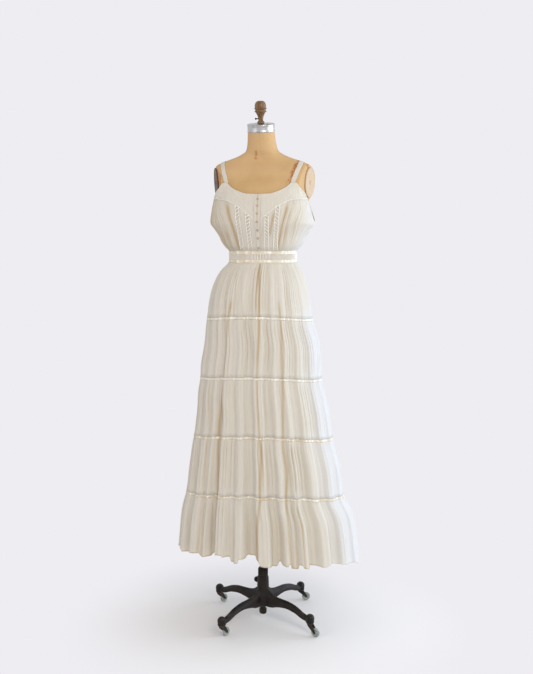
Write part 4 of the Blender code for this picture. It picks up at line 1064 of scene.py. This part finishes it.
def build_front(sign, hand):
    """A gathered lower front with its two lace strips, and the yoke over it with a corded seam."""
    columns, rows = 150, 150
    panel, shade_and_tint = panel_grid(sign, columns, rows)
    # The lace follows every row of the panel, and the cloth shows one row in three
    shown_rows = [*range(0, rows - 1, 3), rows - 1]
    piece = cloth_piece(f"bodice_front_{hand}", panel[shown_rows], shade_and_tint[shown_rows])
    for place, distance in zip(("inner", "outer"), LACE_X):
        lace_strip(f"lace_{place}_{hand}", panel, sign, distance)

    a, share = spread(np.linspace(UNDER_PLACKET, YOKE_END, 90), np.linspace(0, 1, 36))
    bottom, top = edge_height(YOKE_SEAM, a), edge_height(FRONT_EDGE, a)
    z = bottom + (top - bottom) * share
    soft = .0005 * wander(a * 2 + 40 * share, 401 + sign, 9)
    soft = soft + .0004 * wander(a * 3 - 90 * share, 403 + sign, 14)
    yoke = bodice_points(sign * a, z, .0012 + soft + edge_roll(top - z) - tuck(a))
    tint = .03 + .05 * wander(a, 407 + sign, 8)
    tint = tint + .18 * smooth_step(a, 26, 34) * smooth_step(.25 - share, 0, .25)
    if sign < 0:
        yoke, tint = yoke[:, ::-1], tint[:, ::-1]
    piece = cloth_piece(f"yoke_front_{hand}", yoke, np.clip(tint, 0, 1), thickness=.0008)
    cord = bodice_points(sign * a[0], bottom[0] + .0004, .0016)
    name = f"yoke_cord_{hand}"
    add_piece(name, tube_mesh(name, cord, .0010), "form", "cream_lace")


def build_back():
    rows, columns = 40, 250
    main_depth, fine_depth = .0046, .0026
    a, share = spread(half_angles("back", columns), np.linspace(0, 1, rows))
    bottom, top = WAIST_TOP - .001, edge_height(BACK_EDGE, a)
    z = bottom + (top - bottom) * share
    full = np.sin(np.pi * np.minimum(share * 1.15, 1))
    main = main_depth * gathers(a + 2 * (share - .5), 42, 501) * full
    fine = fine_depth * np.exp(-(z - bottom) / .026) * smooth_step(z - bottom, 0, .005) * gathers(a, 150, 503)
    points = bodice_points(a, z, .0012 * full + edge_roll(top - z) - main - fine)
    # Painted shade in the gathers' hollows, with a little random tint
    shade_and_tint = np.clip(.5 * main / main_depth + .3 * fine / fine_depth + .1 * wander(a, 509, 8), 0, 1)
    piece = cloth_piece("bodice_back", points, shade_and_tint)


def build_placket():
    """Button band with two topstitched edges, tinted down the middle where the buttons are."""
    half = PLACKET_HALF_WIDTH
    across, share = spread(np.linspace(-1, 1, 25), np.linspace(0, 1, 110))
    low, high = WAIST_TOP - .001, FRONT_EDGE[0][1]
    z = low + (high - low) * share
    angle = np.sign(across) * angle_at(np.abs(across) * half)
    stitch_line = bump(np.abs(across), .80, .10)
    pucker = .0004 * stitch_line * (1 + np.sin(share * 2 * np.pi * 68))
    waves = .0004 * wander(share * 360, 601, 14) * (1 - across ** 2)
    points = bodice_points(angle, z, .0020 - pucker + waves)
    tint = .62 * bump(across, 0, .36) * (.20 + .80 * smooth_step(share, .25, .50)) + .02
    piece = cloth_piece("placket", points, tint, thickness=.0010)
    return ray_target(points)


def build_buttons(seat):
    """Shallow dished buttons, each sewn on by a thread across its middle."""
    profile = rounded([(0, -.0006), (.0036, -.0006), (.0043, .0000), (.0042, .0009), (.0036, .0013),
                       (.0029, .0011), (.0022, .0006), (0, .0005)])
    thread_leans = (.9, 1.25, .6, 1.05, .8, 1.4, .95)
    for number, lean in enumerate(thread_leans, 1):
        node = f"button_{number}"
        low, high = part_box(node)
        middle = (Vector(low) + Vector(high)) / 2
        spot, normal, _, _ = seat.ray_cast(Vector((AXIS_X, -1, middle.z)), Vector((0, 1, 0)))
        if normal.y > 0:
            normal.negate()
        turn = Vector((0, 0, 1)).rotation_difference(normal).to_matrix().to_4x4()
        place = Matrix.Translation(spot + normal * .0010) @ turn
        add_turned(f"shell_{node}", profile, 32, place, "form", "tan_button", node)
        thread = []
        for end in np.linspace(-1, 1, 7):
            out, bow = .0015 * end, .0007 + .0003 * (1 - end * end)
            thread.append(place @ Vector((out * math.cos(lean), out * math.sin(lean), bow)))
        name = f"thread_{node}"
        add_piece(name, tube_mesh(name, thread, .00028), "form", "cream_cotton")


# Dress form

def arm_flat(y, z):
    return ARM_FLAT_X + ARM_FLAT_PER_Y * y + ARM_FLAT_PER_Z * (z - ARM_FLAT_Z)


def torso_grid():
    columns, rows = 160, 130
    angle, z = spread(np.arange(columns) * 360 / columns, np.linspace(TORSO[0].z, TORSO[-1].z, rows))
    x, y = table_section(TORSO, angle, z)
    limit = np.where(z > ARM_FLAT_BOTTOM, arm_flat(y, z), 1)
    blend = .0015
    x = np.sign(x) * (limit - blend * np.logaddexp(0, (limit - np.abs(x)) / blend))
    height = z + column(TORSO, z, "dip") * y
    return np.stack([AXIS_X + x, y + column(TORSO, z, "lean"), height], axis=-1)


def build_torso():
    skin = torso_grid()
    columns = skin.shape[1]
    turn = np.radians(np.arange(columns) * 360 / columns)

    def ring(radius, z):
        points = [AXIS_X + radius * np.sin(turn), -radius * np.cos(turn), np.full(columns, z)]
        return np.stack(points, axis=-1)[None]

    low = skin[:1] * [1, 1, 0] + [0, 0, TORSO[0].z]
    inset = np.concatenate([low * [.985, .985, 1] + [AXIS_X * .015, 0, -.0015], skin])
    top = skin[-1:].mean(axis=1, keepdims=True).repeat(columns, axis=1)
    grid = np.concatenate([ring(.00001, POLE_TOP + .0005), ring(BORE_RADIUS, POLE_TOP + .0005),
                           ring(BORE_RADIUS, TORSO[0].z - .0015), inset, top])
    mesh = clean(grid_mesh("linen_torso", grid, closed=True), 50)
    add_piece("linen_torso", mesh, "form", "tan_linen", "dress_form_torso")
    return ray_target(skin, closed=True)


def shoulder_reach(body, x, angle):
    out = Vector((0, -math.cos(angle), math.sin(angle)))
    centre = Vector((x, 0, STRAP_CENTRE_HEIGHT))
    spot, _, _, _ = body.ray_cast(centre + out * 0.4, -out)
    return (spot - centre).length


def build_straps(body):
    """Each strap lies on the shoulder, and its ends are sewn in behind the bodice's upper edges."""
    distance = [(0, .1175), (.42, .1410), (.62, .1410), (1, .1180)]
    first, last, steps, across = 33.0, 157.0, 72, 7
    for hand, sign in (("left", -1), ("right", 1)):
        rows = []
        for i in range(steps + 1):
            share = i / steps
            angle = math.radians(first + (last - first) * share)
            out = np.array([0, -math.cos(angle), math.sin(angle)])
            middle = AXIS_X + sign * float(curve(distance, np.array(share)))
            xs = [middle + (c / (across - 1) - .5) * STRAP_WIDTH for c in range(across)]
            reach = np.array([shoulder_reach(body, x, angle) for x in xs])
            rows.append([np.array([x, 0, STRAP_CENTRE_HEIGHT]) + out * r for x, r in zip(xs, reach)])
        grid = np.array(rows)
        # The cloth bridges small hollows: along the strap it is smoothed, and kept outside the skin
        centre = grid * [1, 0, 0] + [0, 0, STRAP_CENTRE_HEIGHT]
        reach = np.linalg.norm(grid - centre, axis=2)
        smooth = reach.copy()
        for _ in range(12):
            smooth[1:-1] = (smooth[:-2] + 2 * smooth[1:-1] + smooth[2:]) / 4
            smooth = np.maximum(smooth, reach)
        edge = np.linspace(-1, 1, across)[None, :] ** 2
        wave = .0005 * np.sin(np.linspace(0, 11, steps + 1))[:, None] * np.linspace(-1, 1, across)[None, :]
        lift = (smooth + .0017 - .0004 * edge + np.abs(wave)) / reach
        grid = centre + (grid - centre) * lift[:, :, None]
        # Painted shade: a little darker towards the strap's edges
        tint = np.full(grid.shape[:2], .02) + .12 * edge
        piece = cloth_piece(f"strap_{hand}", grid, tint, thickness=.0012)


def neck_frame(along):
    """Place on the tilted neck axis, at a distance from the neck's top."""
    top = TORSO[-1]
    foot = Vector((AXIS_X, top.lean, top.z + 0.0006))
    foot += Vector((0, -math.sin(NECK_TILT), math.cos(NECK_TILT))) * along
    return Matrix.Translation(foot) @ Matrix.Rotation(NECK_TILT, 4, "X")


def build_neck():
    cap = rounded([(0, 0), (.0478, 0), (.0484, .0015), (.0484, .0035), (.0476, .0050), (.0475, .0200),
                   (.0484, .0215), (.0484, .0238), (.0470, .0260), (.0440, .0266), (.0150, .0280),
                   (0, .0280)])
    add_turned("nickel_cap", cap, 96, neck_frame(0), "form", "nickel_band", "neck_cap")
    foot = .0284
    length = (TOTAL_HEIGHT - neck_frame(0).translation.z) / math.cos(NECK_TILT) - foot
    # Turned knob: radius, and height as a share of its length
    knob = [(0, 0), (.0120, 0), (.0128, .03), (.0118, .07), (.0088, .11), (.0084, .17), (.0096, .27),
            (.0130, .38), (.0172, .475), (.0180, .495), (.0206, .508), (.0214, .524), (.0206, .540),
            (.0188, .552), (.0186, .600), (.0192, .628), (.0218, .642), (.0225, .656), (.0216, .670),
            (.0196, .682), (.0199, .740), (.0196, .800), (.0182, .880), (.0150, .945), (.0105, .985),
            (.0050, .998), (0, 1)]
    profile = rounded([(radius, share * length) for radius, share in knob])
    add_turned("walnut_finial", profile, 72, neck_frame(foot), "form", "turned_wood", "neck_finial")
    screw = [(0, 0), (.0020, 0), (.0020, .0070), (.0034, .0078), (.0036, .0100), (.0030, .0118), (0, .0122)]
    spot = neck_frame(foot + .20 * length).translation + Vector((-.0085, 0, 0))
    place = Matrix.Translation(spot) @ Matrix.Rotation(-math.pi / 2, 4, "Y")
    add_turned("set_screw", screw, 28, place, "form", "cast_iron", "finial_screw")


def build_arm_plates():
    """Dished oval plates with a raised rim and a bolt in the middle."""
    half_height, half_depth = .054, .040
    rim = rounded([(0, 0), (.97, 0), (1, .0012), (.985, .0042), (.955, .0050), (.90, .0042), (.84, .0036),
                   (.30, .0036), (.22, .0042), (.15, .0044), (.14, .0056), (.10, .0066), (0, .0068)])
    for hand, sign in (("left", -1), ("right", 1)):
        outward = Vector((1, -ARM_FLAT_PER_Y, -ARM_FLAT_PER_Z)).normalized()
        outward.x *= sign
        up = (Vector((0, 0, 1)) - outward * outward.z).normalized()
        side = up.cross(outward)
        middle = Vector((AXIS_X + sign * arm_flat(0, ARM_FLAT_Z), 0, ARM_FLAT_Z + .002))
        turn = Matrix((side, up, outward)).transposed().to_4x4()
        stretch = Matrix.Diagonal((half_depth, half_height, 1, 1))
        place = Matrix.Translation(middle + outward * SEAM_GAP) @ turn @ stretch
        node = f"arm_plate_{hand}"
        add_turned(f"oval_{node}", rim, 96, place, "form", "arm_plate", node)


# Stand

def polar(out, angle_deg, z=0.0):
    angle = math.radians(angle_deg)
    return Vector((AXIS_X + out * math.cos(angle), out * math.sin(angle), z))


def leg_points(angle_deg):
    """A rounded leg with a raised spine, from the hub to its caster socket."""
    count = 60
    stations = np.linspace(LEG[0].out, LEG[-1].out, count)
    top, bottom, half = (curve([(leg.out, getattr(leg, field)) for leg in LEG], stations)
                         for field in ("top", "bottom", "half_width"))
    # Section from the middle of the underside round to the spine: share across, and share up
    outline = [(0, 0), (.55, .0), (.80, .06), (.97, .22), (1, .38), (.90, .58), (.70, .76), (.42, .88),
               (.26, .96), (.12, 1.0)]
    ring = outline + [(-a, u) for a, u in reversed(outline[1:])]
    across, up = np.array(ring).T
    y = half[:, None] * across[None, :]
    z = bottom[:, None] + (top - bottom)[:, None] * up[None, :]
    x = np.repeat(stations[:, None], len(ring), axis=1)
    grid = np.stack([x, y, z], axis=-1)
    start, end = (grid[i:i + 1].mean(axis=1, keepdims=True).repeat(len(ring), axis=1) for i in (0, count - 1))
    grid = np.concatenate([start, grid, end])
    turn = math.radians(angle_deg)
    spin = np.array([[math.cos(turn), math.sin(turn), 0], [-math.sin(turn), math.cos(turn), 0], [0, 0, 1]])
    return grid @ spin + [AXIS_X, 0, 0]


def join_meshes(name, meshes):
    shape = bmesh.new()
    for mesh in meshes:
        shape.from_mesh(mesh)
        bpy.data.meshes.remove(mesh)
    joined = bpy.data.meshes.new(name)
    shape.to_mesh(joined)
    shape.free()
    return joined


def build_base():
    """One casting: hub, arched legs and caster sockets, blended together by a fine remesh."""
    centre = Matrix.Translation((AXIS_X, 0, 0))
    hub = [(BORE_RADIUS, .064), (0.002, .064), (0, .064), (0, .054), (.0195, .054), (.0240, .060),
           (.0265, .070), (.0268, .084), (.0262, .098), (.0232, .110), (.0222, .120), (.0220, .140),
           (.0214, .160), (.0205, .167), (.0172, .1705), (.0172, .1975), (.0160, .200), (BORE_RADIUS, .200),
           (BORE_RADIUS, .064)]
    socket = [(STEM_BORE, .0690), (.0001, .0690), (0, .0790), (.0050, .0784), (.0100, .0758),
              (.0140, .0715), (SOCKET_RADIUS, .0655), (.0158, .0600), (.0148, .0570), (.0150, .0500),
              (.0158, .0485), (.0145, .0462), (STEM_BORE, .0462), (STEM_BORE, .0690)]
    meshes = [lathe("hub", hub, 64, centre)]
    for angle in LEG_ANGLES.values():
        meshes.append(clean(grid_mesh("leg", leg_points(angle), closed=True), 60))
        meshes.append(lathe("socket", socket[::-1], 40, Matrix.Translation(polar(LEG_REACH, angle))))
    base = add_piece("iron_base", join_meshes("iron_base", meshes), "base", "cast_iron", "base_casting")
    skin = base.modifiers.new("one casting", "REMESH")
    skin.mode = "VOXEL"
    skin.voxel_size = .0020
    skin.use_smooth_shade = True
    ease = base.modifiers.new("soft fillets", "SMOOTH")
    ease.factor = .5
    ease.iterations = 4
    collar = [(.0165, .1712), (.0174, .1716), (.0182, .1726), (.0182, .1800), (.0182, .1880), (.0182, .1950),
              (.0174, .1962), (.0165, .1966), (.0165, .1712)]
    add_turned("knurled_collar", collar, 216, centre, "base", "cast_iron",
               ridges=(54, .00045, .172, .1955))
    nut = [(0, .0537), (.0108, .0537), (.0108, .0420), (.0138, .0405), (.0140, .0330), (.0138, .0265),
           (.0120, .0225), (.0080, .0205), (0, .0200)]
    add_turned("hub_bolt", nut[::-1], 48, centre, "base", "cast_iron", "hub_nut",
               ridges=(6, .0003, .027, .040))
    pole = [(0, POLE_BOTTOM), (POLE_RADIUS - .001, POLE_BOTTOM), (POLE_RADIUS, POLE_BOTTOM + .001),
            (POLE_RADIUS, POLE_TOP - .001), (POLE_RADIUS - .001, POLE_TOP), (0, POLE_TOP)]
    add_turned("steel_pole", pole, 64, centre, "pole", "pole_steel", "pole")
    angle, height, reach = 130.0, 0.139, 0.0224
    knob = [(0, 0), (.0045, 0), (.0045, .0150), (.0062, .0160), (.0098, .0185), (.0100, .0200),
            (.0100, .0225), (.0100, .0250), (.0092, .0275), (.0070, .0292), (0, .0300)]
    place = Matrix.Translation(polar(reach, angle, height)) @ Matrix.Rotation(math.radians(angle), 4, "Z")
    place = place @ Matrix.Rotation(math.pi / 2, 4, "Y")
    add_turned("clamp_knob", knob, 144, place, "clamp_screw", "cast_iron", "clamp_screw",
               ridges=(24, .0004, .018, .026))


def build_casters():
    """The forks keep their solids, with eased edges. Each wheel is turned: a tread, a dish and a hub cap."""
    half = [(AXLE_BORE, -.0050), (.0052, -.0050), (.0058, -.0042), (.0100, -.0038), (.0118, -.0046),
            (.0138, -.0050), (.0152, -.0044), (WHEEL_RADIUS, -.0030)]
    rim = half + [(radius, -out) for radius, out in reversed(half)] + half[:1]
    for place, angle in LEG_ANGLES.items():
        fork = bpy.data.objects[f"caster_fork_{place}"]
        fork.data.materials.clear()
        fork.data.materials.append(FINISHES["cast_iron"])
        ease = fork.modifiers.new("eased edges", "BEVEL")
        ease.width = .0005
        ease.segments = 2
        ease.limit_method = "ANGLE"
        swivel = Matrix.Rotation(math.radians(TRAIL_ANGLES[place]), 4, "Z")
        swivel = Matrix.Translation(polar(LEG_REACH, angle)) @ swivel
        axle = Matrix.Translation((CASTER_TRAIL, 0, WHEEL_RADIUS)) @ Matrix.Rotation(math.pi / 2, 4, "X")
        add_turned(f"wheel_{place}", rim, 64, swivel @ axle, f"wheel_{place}", "wheel_grey",
                   f"caster_wheel_{place}")


# Stage, light and camera

def build_stage():
    """A round pale sweep: the floor near the stand takes shadows, and further out it glows evenly."""
    bend = [(5 + 2 * math.sin(t), 2 - 2 * math.cos(t)) for t in np.linspace(0, math.pi / 2, 12)]
    profile = [(0, 0), (.4, 0), (1, 0), (2, 0), (3.5, 0)] + bend + [(7, 4), (7, 7)]
    radius, height = np.array(profile).T
    sides = 96
    turn = -np.arange(sides) * 2 * np.pi / sides
    points = np.stack([radius[:, None] * np.cos(turn), radius[:, None] * np.sin(turn),
                       np.repeat(height[:, None], sides, axis=1) - .0002], axis=-1)
    mesh = grid_mesh("studio_sweep", points, closed=True)
    sweep = bpy.data.objects.new("studio_sweep", mesh)
    bpy.context.scene.collection.objects.link(sweep)
    s = Shader("pale_paper", roughness=.95)
    s.surface.inputs["Base Color"].default_value = (.75, .730, .705, 1)
    glow = s.add("ShaderNodeEmission")
    glow.inputs["Color"].default_value = (.855, .847, .887, 1)
    away = s.add_linked("ShaderNodeVectorMath", s.object_space(), operation="LENGTH")
    s.show_mix(s.step(away.outputs["Value"], .30, .80), s.surface.outputs[0], glow.outputs[0])
    mesh.materials.append(s.material)


def area_light(name, place, target, size, power, colour):
    lamp = bpy.data.lights.new(name, "AREA")
    lamp.shape = "DISK"
    lamp.size = size
    lamp.energy = power
    lamp.color = colour
    holder = bpy.data.objects.new(name, lamp)
    bpy.context.scene.collection.objects.link(holder)
    holder.location = place
    holder.rotation_euler = (Vector(target) - Vector(place)).to_track_quat("-Z", "Y").to_euler()


def build_light():
    """A large cool window at the right, a soft front light, a weak fill and a pale room."""
    area_light("window", (3.0, .6, 1.45), (.1, 0, .95), 3.6, 105, (.66, .81, 1))
    area_light("front", (1.6, -2.9, 2.5), (0, 0, 1.0), 1.6, 46, (1, .985, .96))
    area_light("fill", (-2.4, -2.4, 1.9), (0, 0, .9), 2.4, 12, (1, .975, .94))
    world = bpy.data.worlds.new("studio")
    bpy.context.scene.world = world
    world.use_nodes = True
    back = world.node_tree.nodes["Background"]
    back.inputs["Color"].default_value = (.855, .85, .88, 1)
    back.inputs["Strength"].default_value = .82


def build_camera():
    distance, side, height = 3.389, .013, 1.440
    yaw, tilt = math.radians(8), math.radians(83.71)
    camera = bpy.data.cameras.new("camera")
    camera.lens = 50
    camera.sensor_width = 36
    holder = bpy.data.objects.new("camera", camera)
    bpy.context.scene.collection.objects.link(holder)
    holder.location = (AXIS_X + distance * math.sin(yaw) + side * math.cos(yaw),
                       -distance * math.cos(yaw) + side * math.sin(yaw), height)
    holder.rotation_euler = (tilt, 0, yaw)
    bpy.context.scene.camera = holder


build_camera()
build_skirt()
build_waist()
for side_sign, side_name in ((-1, "left"), (1, "right")):
    build_front(side_sign, side_name)
build_back()
build_buttons(build_placket())
build_straps(build_torso())
build_neck()
build_arm_plates()
build_base()
build_casters()
build_stage()
build_light()
bpy.context.scene.view_settings.view_transform = "Standard"
bpy.context.view_layer.update()
